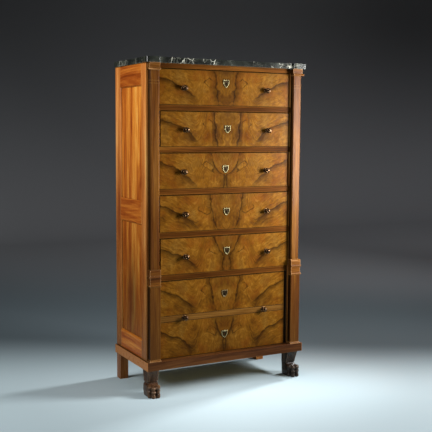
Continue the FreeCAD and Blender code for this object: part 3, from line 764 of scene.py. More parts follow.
@dataclass(frozen=True)
class Veneer(Finish):
    """Matched figured veneer on the face of a drawer front, over a solid front.

    Attributes:
        leaf: Number of the leaf in its bundle.
        bells: Shape of the figure's bell, for each leaf.
        middle: Middle of the front, across.
        bottoms: Lower edges of the leaves, lowest first.
        top: Upper edge of the front.
        face: Depth at which the face lies.
        band: Bottom and top of a plain strip between two leaves, or nothing.
    """

    leaf: int = 0
    bells: tuple[Bell, ...] = (Bell(0.03, 0.0, 0.05),)
    middle: float = 0.0
    bottoms: tuple[float, ...] = (0.0,)
    top: float = 1.0
    face: float = 0.0
    band: tuple[float, float] | None = None

    def dress(self, net: Net, shader: bpy.types.Node) -> None:
        """Figure on the face, plain wood on the inside, and painted shadow along the face's top and
        bottom and on the solid front's edges.

        Args:
            net: The material's tree.
            shader: Its surface shader.
        """
        x, y, z = net.split(net.place())
        wood = self.figured(net, x, z)
        hollow_edge = hollow_masks(net, 0.005)
        colour = net.ramp(wood["Tone"], WALNUT_FIGURE)
        colour = net.mix(wood["Blush"].rise(0.46, 0.68) * 0.4, colour, tint(BLUSH))
        colour = net.mix(wood["Shade"] * 0.55, colour, tint(CLOUD))
        colour = net.mix(wood["Vein"] * 0.85, colour, tint(VEIN))
        colour = net.mix(wood["Pore"] * 0.35, colour, tint(LEAF_PORE))
        plain = grain(net, net.vector(z, y, x), 0.02, 0.011)
        colour = self.strip(net, z, plain["Tone"], colour)
        # Painted shadow lines along the face's top and bottom, as in the gaps.
        ends = z.line(self.bottoms[0], 0.0035).most(z.line(self.top, 0.0045))
        colour = net.mix(ends * 0.9, colour, tint(GAP_SHADOW_LINE))
        solid = y.above(self.face + VENEER_DEPTH)
        board = net.ramp(plain["Tone"], WALNUT_BOARD)
        # Painted shade on the solid front's edges, which show in the gaps.
        board = net.mix(solid - y.above(self.face + EDGE_DEPTH), board, tint(EDGE_FACE_SHADE))
        colour = net.mix(solid, colour, board)
        # Painted shade with grime in the hollows and gaps, through an ambient occlusion mask.
        colour = net.mix(hollow_edge["Crevice"] * 0.6, colour, tint(JOINT_AND_GAP_SHADE))
        colour = net.mix(hollow_edge["Edge"] * 0.25, colour, tint(RUBBED_LEAF))
        gloss = wood["Ripple"].rise(0.3, 0.7, self.roughness - 0.05, self.roughness + 0.07)
        relief = wood["Ripple"] * 0.6 - wood["Pore"] * 0.5
        net.feed(shader.inputs["Base Color"], colour)
        net.feed(shader.inputs["Roughness"], gloss + hollow_edge["Crevice"] * 0.3)
        net.feed(shader.inputs["Specular IOR Level"], 0.03)
        net.feed(shader.inputs["Normal"], net.bump(relief, 0.2, PORE_DEPTH))

    def figured(self, net: Net, x: Field, z: Field) -> dict[str, Field]:
        """Places the figure, so that each leaf starts at its own bottom edge.

        Args:
            net: The material's tree.
            x: Place across.
            z: Height.

        Returns:
            The figure's outputs.
        """
        height = z - self.bottoms[0]
        leaf = self.leaf * LEAF_STEP
        bell: Sequence[Value] = self.bells[0]
        if self.band is not None:
            upper_leaf = z.above(self.band[1])
            height = height - upper_leaf * (self.bottoms[1] - self.bottoms[0])
            leaf = upper_leaf * LEAF_STEP + leaf
            bell = [upper_leaf * (upper - lower) + lower for lower, upper in zip(*self.bells)]
        return figure(net, net.vector(x - self.middle, leaf, height), bell)

    def strip(self, net: Net, z: Field, tone: Field, colour: Field) -> Field:
        """Lays the plain strip with its two joints between the leaves, if there is one.

        Args:
            net: The material's tree.
            z: Height.
            tone: Tone of the plain wood.
            colour: The figure's colour.

        Returns:
            The colour with the strip.
        """
        if self.band is None:
            return colour
        low, high = self.band
        strip = z.above(low) * (z.above(high) * -1.0 + 1.0)
        colour = net.mix(strip, colour, net.ramp(tone, WALNUT_BAND))
        joints = z.line(low, 0.002).most(z.line(high, 0.002))
        return net.mix(joints * 0.6, colour, tint(JOINT_AND_GAP_SHADE))


@dataclass(frozen=True)
class Marble(Finish):
    """Dark grey marble with pale veins."""

    def dress(self, net: Net, shader: bpy.types.Node) -> None:
        """Clouds, broad pale patches and fine white veins.

        Args:
            net: The material's tree.
            shader: Its surface shader.
        """
        place = net.place()
        clouds = net.noise(place, 9.0, 5.0, 0.65, 0.6)
        warp = net.moved_noise(place, (3, 1, 2), 6.0, 4.0, 0.6) - 0.5
        x, y, z = net.split(place)
        bent = net.vector(x + warp * 0.16, y + (clouds - 0.5) * 0.16, z + warp * 0.1)
        thin = net.cells(bent, 16.0, "DISTANCE_TO_EDGE").rise(0.0, 0.035, 1.0, 0.0)
        fine = net.cells(net.stretch(bent, (1, 1, 1), (2, 5, 1)), 42.0, "DISTANCE_TO_EDGE")
        fine = fine.rise(0.0, 0.05, 1.0, 0.0)
        where = net.noise(place, 14.0, 2.0).rise(0.45, 0.62)
        colour = net.ramp(clouds, GREY_CLOUDS)
        colour = net.mix(thin * where * 0.75, colour, tint(WHITE_VEIN))
        colour = net.mix(fine * where * 0.5, colour, tint(GREY_VEIN))
        colour = net.mix(hollow_masks(net, 0.004)["Edge"] * 0.2, colour, tint(RUBBED_MARBLE))
        gloss = clouds.rise(0.3, 0.7, self.roughness, self.roughness + 0.08)
        net.feed(shader.inputs["Base Color"], colour)
        net.feed(shader.inputs["Roughness"], gloss)


@dataclass(frozen=True)
class Metal(Finish):
    """Old metal, dark in its hollows and bright where it is rubbed.

    Attributes:
        bright: Display colour where rubbed.
        dull: Display colour of the patina.
        rub: How much of the surface is bright.
        metallic: How much it reflects like bare metal, not like tarnish.
        grime: How dark its hollows are.
    """

    bright: str = "b89a5a"
    dull: str = "4a3a22"
    rub: float = 0.5
    metallic: float = 1.0
    grime: float = 0.8

    def dress(self, net: Net, shader: bpy.types.Node) -> None:
        """Patina broken by rubbed places.

        Args:
            net: The material's tree.
            shader: Its surface shader.
        """
        spots = net.noise(net.place(), 160.0, 4.0, 0.6)
        hollow_edge = hollow_masks(net, 0.003)
        bright = (spots.rise(0.35, 0.65) * self.rub + hollow_edge["Edge"] * 0.6).math("MINIMUM", 1.0)
        colour = net.mix(bright, tint(self.dull), tint(self.bright))
        colour = net.mix(hollow_edge["Crevice"] * self.grime, colour, tint(TARNISH))
        net.feed(shader.inputs["Base Color"], colour)
        net.feed(shader.inputs["Metallic"], self.metallic)
        net.feed(shader.inputs["Roughness"], spots.rise(0.3, 0.7, self.roughness - 0.08,
                                                      self.roughness + 0.12))
        net.feed(shader.inputs["Normal"], net.bump(spots, 0.15, 0.0002))


@dataclass(frozen=True)
class PaperWithPaintedShade(Finish):
    """Studio paper with painted shadow and fall-off: pale in front, dark behind and on the left,
    darker up the wall.

    Attributes:
        floor: Display colours of the floor, on the left, darker as painted shadow, and in front.
        behind: Display colours of the floor behind, on the left and on the right, dark as painted
            shadow and fall-off.
        foot: Display colours of the foot of the backdrop, on the left and on the right.
        wall: Display colours of the top of the backdrop, at its sides and in its middle, which is
            paler as painted light.
        away: Level direction in which the floor darkens.
        floor_across: Range across in which the floor's two colours meet.
        behind_across: The same for the floor behind.
        foot_across: The same for the foot of the backdrop.
        wall_middle: Middle of the wall's pale part.
        wall_across: Range from its middle in which the wall darkens.
        dim: Range of distances in which the floor darkens as painted fall-off.
        rise: Range of distances in which the floor turns into the foot of the backdrop.
        wall_height: Height at which the backdrop has the wall's colour.
    """

    floor: tuple[str, str] = ("abbdc3", "c6d9e0")
    behind: tuple[str, str] = ("4a5459", "2f363a")
    foot: tuple[str, str] = ("9c9ea2", "c4c6cc")
    wall: tuple[str, str] = ("5f6062", "7a7b7d")
    away: tuple[float, float] = (0.64, 1.04)
    floor_across: tuple[float, float] = (-0.95, -0.1)
    behind_across: tuple[float, float] = (0.0, 2.6)
    foot_across: tuple[float, float] = (0.3, 5.0)
    wall_middle: float = 3.6
    wall_across: tuple[float, float] = (0.5, 3.4)
    dim: tuple[float, float] = (-0.35, 0.9)
    rise: tuple[float, float] = (1.7, 6.5)
    wall_height: float = 3.0

    def dress(self, net: Net, shader: bpy.types.Node) -> None:
        """Grades the paper by distance and then by height, painting its shadow and fall-off.

        Args:
            net: The material's tree.
            shader: Its surface shader.
        """
        x, y, z = net.split(net.place())
        distance = x * self.away[0] + y * self.away[1]
        # Painted shadow: darker floor on the left and behind the chest. Painted fall-off: darker
        # far away and up the wall, with a paler middle as painted light.
        floor = self.blend(net, x.rise(*self.floor_across), self.floor)
        behind = self.blend(net, x.rise(*self.behind_across), self.behind)
        foot = self.blend(net, x.rise(*self.foot_across), self.foot)
        pale = abs(x - self.wall_middle).rise(*self.wall_across, 1.0, 0.0)
        wall = self.blend(net, pale, self.wall)
        level = net.mix(distance.rise(*self.dim), floor, behind)
        level = net.mix(distance.rise(*self.rise), level, foot)
        paper = net.mix(z.rise(0.0, self.wall_height), level, wall)
        net.feed(shader.inputs["Base Color"], paper)
        net.feed(shader.inputs["Specular IOR Level"], 0.2)

    def blend(self, net: Net, share: Field, pair: tuple[str, str]) -> Field:
        """Mixes two display colours by a share."""
        return net.mix(share, tint(pair[0]), tint(pair[1]))


# ------------------------------------------------------------------ studio
@dataclass(frozen=True)
class Lamp:
    """A rectangular soft box.

    Attributes:
        name: Its name.
        place: Where it hangs.
        aim: The point that it faces.
        size: Width and height.
        power: Watts.
        spread: Degrees over which it spreads.
    """

    name: str
    place: tuple[float, float, float]
    aim: tuple[float, float, float]
    size: tuple[float, float]
    power: float
    spread: float = 180.0

    def hang(self) -> None:
        """Makes the lamp and turns it to the point that it faces."""
        data = bpy.data.lights.new(self.name, "AREA")
        data.shape = "RECTANGLE"
        data.size, data.size_y = self.size
        data.energy = self.power
        data.spread = math.radians(self.spread)
        lamp = bpy.data.objects.new(self.name, data)
        direction = Vector(self.aim) - Vector(self.place)
        lamp.matrix_world = (Matrix.Translation(self.place)
                             @ direction.to_track_quat("-Z", "Y").to_matrix().to_4x4())
        bpy.context.collection.objects.link(lamp)


@dataclass
class Studio:
    """Floor, backdrop, lamps and camera.

    Attributes:
        width: Half the width of the floor.
        depth: Half its depth, up to the bend of the backdrop.
        height: Height of the backdrop.
        bend: Radius of the bend between them.
        bend_steps: Parts that the bend has.
        lamps: A tall soft box near the right of the front, one on the left, one overhead, and a
            small hard lamp on the right behind the front.
        sky: Strength of the white light from all round.
        eye: The camera's place.
        turn: Degrees the camera looks to the right of straight ahead.
        tip: Degrees it looks down.
        lean: Degrees it is rolled.
        lens: Focal length on a frame as wide as film.
        film: Width of the camera's frame, in millimetres.
    """

    width: float = 9.0
    depth: float = 5.0
    height: float = 7.0
    bend: float = 1.5
    bend_steps: int = 12
    lamps: tuple[Lamp, ...] = (
        Lamp("key_softbox", (1.3, -1.0, 1.13), (0.25, -0.16, 1.02), (0.5, 0.82), 28, 90.0),
        Lamp("left_softbox", (-2.4, -0.3, 2.1), (-0.4, 0.0, 1.1), (1.2, 1.3), 45),
        Lamp("top_softbox", (0.0, -1.3, 3.4), (0.0, -0.7, 0.0), (2.0, 1.4), 14),
        Lamp("right_lamp", (2.3, 0.35, 2.2), (-0.2, -0.3, 0.0), (0.35, 0.35), 82),
    )
    sky: float = 0.09
    eye: tuple[float, float, float] = (-1.8547, -3.5116, 1.1785)
    turn: float = 28.24
    tip: float = 5.71
    lean: float = 0.35
    lens: float = 69.94
    film: float = 36.0

    def build(self) -> None:
        """Makes the whole studio."""
        self.floor()
        for lamp in self.lamps:
            lamp.hang()
        self.light()
        self.camera()

    def path(self) -> list[Vector]:
        """Follows the floor from its front edge up the backdrop.

        Returns:
            The points of that line.
        """
        line = [Vector((0, -self.depth, 0)), Vector((0, self.depth, 0))]
        for index in range(1, self.bend_steps + 1):
            angle = index / self.bend_steps * math.pi / 2
            line.append(Vector((0, self.depth + self.bend * math.sin(angle),
                                self.bend * (1 - math.cos(angle)))))
        return [*line, Vector((0, self.depth + self.bend, self.height))]

    def floor(self) -> None:
        """A floor that curves up into a backdrop."""
        mesh = bmesh.new()
        ends = [mesh.verts.new((side, -self.depth, 0)) for side in (-self.width, self.width)]
        edges = [mesh.edges.new(ends)]
        path = self.path()
        for previous, point in zip(path, path[1:]):
            made = bmesh.ops.extrude_edge_only(mesh, edges=edges)["geom"]
            corners = [item for item in made if isinstance(item, bmesh.types.BMVert)]
            bmesh.ops.translate(mesh, verts=corners, vec=point - previous)
            edges = [item for item in made if isinstance(item, bmesh.types.BMEdge)
                     and all(vertex in corners for vertex in item.verts)]
        for face in mesh.faces:
            face.smooth = True
        bmesh.ops.recalc_face_normals(mesh, faces=mesh.faces)
        data = bpy.data.meshes.new("studio_floor")
        mesh.to_mesh(data)
        mesh.free()
        # The paper's finish paints shadow and fall-off on the floor and wall.
        data.materials.append(PaperWithPaintedShade("painted_shade_paper", 0.8).material())
        sheet = bpy.data.objects.new("studio_floor", data)
        bpy.context.collection.objects.link(sheet)
        sheet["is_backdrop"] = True

    def light(self) -> None:
        """Lights the studio from all round and sets how colours are shown."""
        world = bpy.data.worlds.new("studio_sky")
        bpy.context.scene.world = world
        world.use_nodes = True
        sky = world.node_tree.nodes["Background"]
        sky.inputs["Color"].default_value = (1, 1, 1, 1)
        sky.inputs["Strength"].default_value = self.sky
        bpy.context.scene.view_settings.view_transform = "Standard"

    def camera(self) -> None:
        """Stands the camera at the reference angle."""
        turn, tip, lean = (math.radians(angle) for angle in (self.turn, self.tip, self.lean))
        forward = Vector((math.sin(turn) * math.cos(tip), math.cos(turn) * math.cos(tip),
                          -math.sin(tip)))
        level = Vector((math.cos(turn), -math.sin(turn), 0))
        above = level.cross(forward)
        right = level * math.cos(lean) + above * math.sin(lean)
        up = above * math.cos(lean) - level * math.sin(lean)
        data = bpy.data.cameras.new("camera")
        data.sensor_width = self.film
        data.lens = self.lens
        camera = bpy.data.objects.new("camera", data)
        camera.matrix_world = Matrix.Translation(self.eye) @ Matrix(
            (right, up, -forward)).transposed().to_4x4()
        bpy.context.collection.objects.link(camera)
        bpy.context.scene.camera = camera


# ------------------------------------------------------------------ mesh helpers
def rounded(value: float, power: float) -> float:
    """Flattens a sine or cosine, so that a circle becomes a rounded rectangle."""
    return math.copysign(abs(value) ** (2 / power), value)


def ring(mesh: bmesh.types.BMesh, segments: int, centre: Vector, half: tuple[float, float],
         power: float) -> list[bmesh.types.BMEdge]:
    """Adds a level ring in the shape of a rounded rectangle.

    Args:
        mesh: The mesh that grows.
        segments: Corners in the ring.
        centre: Middle of the ring.
        half: Half its width and half its depth.
        power: 2 for an ellipse, more for squarer corners.

    Returns:
        The ring's edges.
    """
    made = bmesh.ops.create_circle(mesh, segments=segments, radius=1.0)["verts"]
    edges = list(dict.fromkeys(edge for vertex in made for edge in vertex.link_edges))
    for vertex in made:
        angle = math.atan2(vertex.co.y, vertex.co.x)
        vertex.co = centre + Vector((half[0] * rounded(math.cos(angle), power),
                                     half[1] * rounded(math.sin(angle), power), 0))
    return edges


def ball(mesh: bmesh.types.BMesh, centre: Sequence[float], half: Sequence[float],
         tilt: Matrix | None = None) -> None:
    """Adds a closed egg shape.

    Args:
        mesh: The mesh that grows.
        centre: Its middle.
        half: Half its length along each axis.
        tilt: Turns it, or nothing.
    """
    place = Matrix.Translation(centre) @ (tilt or Matrix()) @ Matrix.Diagonal((*half, 1.0))
    bmesh.ops.create_icosphere(mesh, subdivisions=3, radius=1.0, matrix=place)


def smoothed(points: Sequence[tuple[float, float]], steps: int) -> list[tuple[float, float]]:
    """A smooth line through points, with more points between them.

    Args:
        points: The points that it passes through.
        steps: Parts between two points.

    Returns:
        All the points of the line.
    """
    line = []
    padded = [points[0], *points, points[-1]]
    for before, start, end, after in zip(padded, padded[1:], padded[2:], padded[3:]):
        for index in range(steps):
            t = index / steps
            line.append(tuple(
                0.5 * (2 * b + (c - a) * t + (2 * a - 5 * b + 4 * c - d) * t * t
                       + (3 * b - a - 3 * c + d) * t ** 3)
                for a, b, c, d in zip(before, start, end, after)))
    return [*line, points[-1]]


def spun(mesh: bmesh.types.BMesh, profile: Sequence[tuple[float, float]], foot: Vector,
         steps: int) -> None:
    """Adds a form turned about a line that runs forward from its foot.

    Args:
        mesh: The mesh that grows.
        profile: Radius and reach of each point.
        foot: Where the line starts.
        steps: Corners round the form.
    """
    corners = [mesh.verts.new(foot + Vector((radius, -reach, 0))) for radius, reach in profile]
    edges = [mesh.edges.new(pair) for pair in zip(corners, corners[1:])]
    bmesh.ops.spin(mesh, geom=corners + edges, cent=foot, axis=(0, 1, 0), angle=math.tau,
                   steps=steps, use_merge=True)
    bmesh.ops.remove_doubles(mesh, verts=mesh.verts, dist=1e-6)
    bmesh.ops.recalc_face_normals(mesh, faces=mesh.faces)


def piece(mesh: bmesh.types.BMesh, name: str, finish: Finish, body: str) -> bpy.types.Object:
    """Makes a mesh a piece of the chest.

    Args:
        mesh: The mesh, which is used up.
        name: The piece's name.
        finish: Its finish.
        body: The body that it rides on.

    Returns:
        The piece.
    """
    for face in mesh.faces:
        face.smooth = True
    data = bpy.data.meshes.new(name)
    mesh.to_mesh(data)
    mesh.free()
    data.materials.append(finish.material())
    made = bpy.data.objects.new(name, data)
    bpy.context.collection.objects.link(made)
    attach(made, body)
    LOG.info("made %s, %d faces", name, len(data.polygons))
    return made


def remeshed(mesh: bmesh.types.BMesh, voxel: float) -> bmesh.types.BMesh:
    """Joins overlapping closed forms into one skin.

    Args:
        mesh: The forms, which are used up.
        voxel: Size of the grid.

    Returns:
        The skin.
    """
    data = bpy.data.meshes.new("rough_form")
    mesh.to_mesh(data)
    mesh.free()
    rough = bpy.data.objects.new("rough_form", data)
    bpy.context.collection.objects.link(rough)
    remesh = rough.modifiers.new("remesh", "REMESH")
    remesh.mode = "VOXEL"
    remesh.voxel_size = voxel
    graph = bpy.context.evaluated_depsgraph_get()
    skin = bmesh.new()
    skin.from_mesh(rough.evaluated_get(graph).to_mesh())
    bpy.data.objects.remove(rough)
    bpy.data.meshes.remove(data)
    return skin


# ------------------------------------------------------------------ paw feet
@dataclass
class PawFoot:
    """A carved lion's paw under one pilaster, in millimetres from the middle of the leg on the
    floor, with y from the face of the case and the chest's outside on the left.

    Attributes:
        side: First part of the foot's node, left_ or right_.
        finish: Its finish.
        half_width: Half the width of the leg.
        depth: Depth that the foot takes up behind the face of the case.
        back: Depth of the leg's back.
        height: Height of the leg's head.
        levels: Height, reach in front, recess of the outer side, depth of the back and
            squareness of each ring of the leg below its head.
        head: Reach in front and squareness of the head.
        core: Middle and half sizes of what fills the paw between the toes.
        toes: Place across, depth and size of each toe.
        knuckles: Height, setback, half width and half depth as shares of the toe's size, and
            half height of each swelling of a toe.
        ridge: Length, start and end height and half height of the ridge from a toe back to the
            ankle.
        gather: Places of the ridges across at the ankle, as a share of the toes' own.
        webs: Height, depth and half height of each form that fills a toe towards the leg.
        claw: Half sizes of a claw.
        claw_height: Height of its middle.
        claw_tilt: Degrees that it leans forward.
        locks: Locks of fur round the leg.
        fur: Height at which the fur starts.
        fur_middle: Depth of the upright line that the locks stand round.
        fade: Heights over which the grooves fade in above the paw and out below the head.
        lock_depth: Depth of the grooves between the locks.
        strand_depth: Depth of the grooves between the strands of a lock.
        voxel: Fineness of the carving.
        sole: Height at which the sole is planed.
    """

    side: str
    finish: Finish
    half_width: float = 29.3
    depth: float = 50.0
    back: float = 49.8
    height: float = 123.8
    levels: tuple[tuple[float, float, float, float, float], ...] = (
        (0.5, 12.0, 4.0, 45.0, 6.0),
        (6.0, 12.5, 2.5, 47.5, 6.0),
        (28.0, 13.0, 0.5, 49.5, 6.0),
        (50.0, 5.0, 3.0, 49.6, 7.0),
        (58.0, -5.0, 8.4, 49.6, 7.0),
        (61.0, -7.0, 9.0, 49.6, 7.0),
        (65.0, -2.6, 5.6, 49.6, 8.0),
        (70.0, -1.8, 5.2, 49.6, 8.0),
        (82.0, 1.0, 4.6, 49.6, 9.0),
        (102.0, 8.0, 1.6, 49.8, 11.0),
    )
    head: tuple[float, float] = (11.8, 14.0)
    core: tuple[tuple[float, float, float], tuple[float, float, float]] = (
        (0, -7, 22), (25, 16, 32))
    toes: tuple[tuple[float, float, float], ...] = (
        (-21.4, -15.0, 10.0), (-9.6, -31.2, 11.2), (11.4, -31.4, 11.2), (22.2, -12.0, 9.4))
    knuckles: tuple[tuple[float, float, float, float, float], ...] = (
        (7.0, 0.0, 0.98, 0.98, 11.0),
        (16.0, 1.5, 0.84, 0.84, 9.0),
        (26.5, 0.0, 0.98, 1.0, 8.0),
        (35.0, 1.5, 0.80, 0.76, 9.0),
        (44.5, 0.0, 1.0, 1.0, 8.5),
    )
    ridge: tuple[float, float, float, float] = (20.0, 44.0, 48.0, 6.0)
    gather: float = 0.72
    webs: tuple[tuple[float, float, float], ...] = ((31.0, 8.0, 13.0), (12.0, 7.0, 13.0))
    claw: tuple[float, float, float] = (3.2, 4.4, 8.0)
    claw_height: float = 12.0
    claw_tilt: float = -14.0
    locks: int = 25
    fur: float = 61.0
    fur_middle: float = 20.0
    fade: tuple[float, float] = (4.0, 6.0)
    lock_depth: float = 2.6
    strand_depth: float = 0.9
    voxel: float = 1.0
    sole: float = 0.2

    def build(self) -> None:
        """Sculpts the foot and puts it in its node's place."""
        rough = bmesh.new()
        self.leg(rough)
        ball(rough, *self.core)
        for x, y, size in self.toes:
            self.toe(rough, x, y, size)
        skin = remeshed(rough, self.voxel)
        for _ in range(2):
            bmesh.ops.smooth_vert(skin, verts=skin.verts, factor=0.5, use_axis_x=True,
                                  use_axis_y=True, use_axis_z=True)
        self.carve(skin)
        self.level(skin)
        low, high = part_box(self.side + "paw_foot")
        middle = Vector(((low[0] + high[0]) / 2, high[1] - self.depth * MILLIMETRE, 0))
        outward = 1 if self.side == "left_" else -1
        bmesh.ops.transform(skin, verts=skin.verts, matrix=Matrix.Translation(middle)
                            @ Matrix.Diagonal((outward * MILLIMETRE, MILLIMETRE, MILLIMETRE, 1)))
        bmesh.ops.recalc_face_normals(skin, faces=skin.faces)
        made = piece(skin, self.side + "carved_paw", self.finish, "case")
        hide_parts(self.side + "paw_foot")

    def leg(self, mesh: bmesh.types.BMesh) -> None:
        """The leg from its square head past the ankle to the heel.

        Args:
            mesh: The foot's mesh.
        """
        reach, power = self.head
        head = (self.height, reach, 0.0, self.back, power)
        rings = []
        for level, reach, recess, back, power in (*self.levels, head):
            outer = -self.half_width + recess
            centre = Vector(((outer + self.half_width) / 2, (back - reach) / 2, level))
            half = ((self.half_width - outer) / 2, (back + reach) / 2)
            rings.append(ring(mesh, 48, centre, half, power))
        for lower, upper in zip(rings, rings[1:]):
            bmesh.ops.bridge_loops(mesh, edges=lower + upper)
        for end in (rings[0], rings[-1]):
            bmesh.ops.edgeloop_fill(mesh, edges=end)
        bmesh.ops.recalc_face_normals(mesh, faces=mesh.faces)

    def toe(self, mesh: bmesh.types.BMesh, x: float, y: float, size: float) -> None:
        """A toe: pad, knuckles, a claw and the ridge that runs back to the ankle.

        Args:
            mesh: The mesh that grows.
            x: The toe's place across.
            y: Its depth.
            size: Half its width.
        """
        for rise, setback, wide, deep, half_height in self.knuckles:
            ball(mesh, (x, y + setback, rise), (size * wide, size * deep, half_height))
        length, start, end, half_height = self.ridge
        knuckle = Vector((x, y, start))
        back = Vector((x * self.gather, y + length, end)) - knuckle
        tilt = back.to_track_quat("Y", "Z").to_matrix().to_4x4()
        ball(mesh, knuckle + back * 0.5, (size * 0.74, back.length * 0.75, half_height), tilt)
        for rise, deep, half_height in self.webs:
            ball(mesh, (x * 0.9, y + size, rise), (size * 0.8, size + deep, half_height))
        lean = Matrix.Rotation(math.radians(self.claw_tilt), 4, "X")
        ball(mesh, (x, y - size * 0.60, self.claw_height), self.claw, lean)

    def carve(self, mesh: bmesh.types.BMesh) -> None:
        """Cuts the locks of fur down the leg.

        Args:
            mesh: The foot's mesh.
        """
        centre = Vector((0, self.fur_middle, 0))
        fade_in, fade_out = self.fade
        mesh.normal_update()
        moves = []
        for vertex in mesh.verts:
            place = vertex.co - centre
            if abs(vertex.normal.z) > 0.9 and place.z > self.height - 3:
                moves.append(Vector())
                continue
            angle = math.atan2(place.y, place.x)
            wave = 0.5 * math.sin(place.z / 17.0 + angle * 3.0) + 0.2 * math.sin(place.z / 6.0)
            phase = angle * self.locks / math.tau + wave * 0.3
            crest = abs(phase - round(phase)) * 2
            strand = abs(phase * 2 - round(phase * 2)) * 2
            start = min(1.0, max(0.0, (place.z - self.fur) / fade_in))
            end = min(1.0, (self.height - place.z) / fade_out)
            depth = self.lock_depth * crest ** 2.4 + self.strand_depth * strand ** 2
            moves.append(vertex.normal * -depth * start * end)
        for vertex, move in zip(mesh.verts, moves):
            vertex.co += move

    def level(self, mesh: bmesh.types.BMesh) -> None:
        """Planes the sole and the head flat.

        Args:
            mesh: The foot's mesh.
        """
        for height, keep in ((self.sole, 1.0), (self.height, -1.0)):
            cut = bmesh.ops.bisect_plane(
                mesh, geom=mesh.verts[:] + mesh.edges[:] + mesh.faces[:], plane_co=(0, 0, height),
                plane_no=(0, 0, keep), clear_inner=True)["geom_cut"]
            edges = [item for item in cut if isinstance(item, bmesh.types.BMEdge)]
            bmesh.ops.edgeloop_fill(mesh, edges=edges)


# ------------------------------------------------------------------ woods and metals
REDDISH = ("7c330a", "a85318", "d07a2a", "eba149")
STILE = ("974a1e", "c1702f", "e5934a", "fbc370")
PANEL = ("7e2c0a", "bb601c", "e88f33", "ffc260")
BROWN = ("3a1d09", "57310f", "714718", "9a6c2e")
# Tones of the mouldings; the palest is a painted highlight for the beads' edges.
BEAD_TONES_WITH_HIGHLIGHT = ("371b08", "522d0d", "6b4216", "d6a473")
RAIL = ("2e1706", "42240a", "573210", "784d1b")
PLINTH = ("2b1508", "3f220d", "563317", "735024")
CARVED = ("21130a", "402817", "5f412a", "987655")
# A darker copy of the carved walnut's tones: painted shade for the right paw.
CARVED_SHADED = ("0c0603", "1a1009", "2b1c11", "5f462f")
BARE = ("8a6a42", "a98755", "c09c68", "d3b583")
BARE_DARK = ("7d5d39", "9c7a4c", "b38f5e", "c9aa79")
OAK = ("6f4e2b", "91693c", "ab8350", "c29b66")

# The sides and pilasters are painted darker towards the floor: painted shade.
SIDE_FRAME = PlainWood("polished_side_frame", 0.26, STILE, shift=(0.3, 0, 0), floor_shade=0.7)
SIDE_RAIL = PlainWood("polished_side_rail", 0.26, REDDISH, Along.DEPTH, (0, 0.4, 0.2), floor_shade=0.2)
SIDE_PANEL = PlainWood("polished_side_panel", 0.26, PANEL, Along.HEIGHT, (0, 0, 0.5), 0.016, 0.045,
                       floor_shade=0.7, heart=(0.03, 0.42))
# Pilasters: painted shade towards the floor, and paler edges that are partly from rubbing and
# partly painted highlight.
PILASTER = PlainWood("polished_pilaster", 0.3, BROWN, Along.HEIGHT, (1.1, 0, 0), 0.009, 0.012,
                     gleam=0.07, floor_shade=0.5, crevice=0.004, rubbed=0.6)
# Mouldings: strongly paler edges, a painted highlight on the beads together with some rubbing.
PILASTER_MOULDING = PlainWood("moulding_with_painted_highlights", 0.3, BEAD_TONES_WITH_HIGHLIGHT, Along.WIDTH, (0, 0, 1.1),
                              gleam=0.07, crevice=0.003, rubbed=0.75)
# Rails: paler edges, partly from rubbing and partly painted highlight.
FRONT_RAIL = PlainWood("polished_rail", 0.3, RAIL, Along.WIDTH, (0.2, 0, 0), 0.010, 0.02,
                       gleam=0.01, rubbed=0.5)
PLINTH_BAR = PlainWood("polished_plinth", 0.3, PLINTH, Along.WIDTH, (0.7, 0, 0), 0.012, 0.02,
                       gleam=0.07)
# Paws: deep painted shade with grime in the carving's hollows, and painted highlight with rubbing
# on its ridges.
PAW = PlainWood("left_carved_walnut", 0.24, CARVED, wander=0.01, gleam=0.3, hollow_grime_and_shade=0.97,
                crevice=0.011, rubbed=0.6)
PINE = PlainWood("bare_pine", 0.6, BARE, Along.WIDTH, pitch=0.02, gleam=0.0)
PINE_UPRIGHT = replace(PINE, name="bare_pine_upright", along=Along.HEIGHT)
PINE_RUNNER = replace(PINE, name="bare_pine_runner", tones=BARE_DARK, along=Along.DEPTH,
                      gleam=0.12)
MARBLE = Marble("grey_marble", 0.14)
WAXED_OAK = PlainWood("waxed_oak", 0.5, OAK, Along.DEPTH, pitch=0.008, wander=0.02, gleam=0.05)
WAXED_OAK_BOTTOM = replace(WAXED_OAK, name="waxed_oak_bottom", along=Along.WIDTH, pitch=0.02,
                           wander=0.03)
DULL_BRASS = Metal("dull_brass", 0.5, "2c2416", "120d07", 0.3)
BLACK_BRASS = Metal("black_brass", 0.5, "33291a", "17110a", 0.2)
OLD_STEEL = Metal("old_steel", 0.35, "8e8a82", "4a4540", 0.6)
RUBBED_BRASS = Metal("rubbed_brass", 0.4, "a09468", "6f6340", 0.85, 0.5, 0.4)
TARNISHED_BRASS = Metal("tarnished_brass", 0.45, "8a744a", "3a2c18", 0.4, 0.4)
DARK_BRONZE = Metal("dark_bronze", 0.26, "a67f58", "24170f", 0.35)


# ------------------------------------------------------------------ the case
class Dresser:
    """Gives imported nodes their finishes."""

    def __init__(self, frame: dict) -> None:
        """Remembers the frame."""
        self.frame = frame

    def corners(self, node: str) -> list[Vector]:
        """The corners of a node's mesh."""
        return [vertex.co for vertex in self.frame["nodes"][node].data.vertices]

    def dress(self, node: str, finish: Finish) -> None:
        """Gives a node one finish in every slot.

        Args:
            node: Name of the node.
            finish: Its finish.
        """
        data = self.frame["nodes"][node].data
        if not data.materials:
            data.materials.append(finish.material())
        for index in range(len(data.materials)):
            data.materials[index] = finish.material()
        LOG.info("dressed %s with %s", node, finish.name)


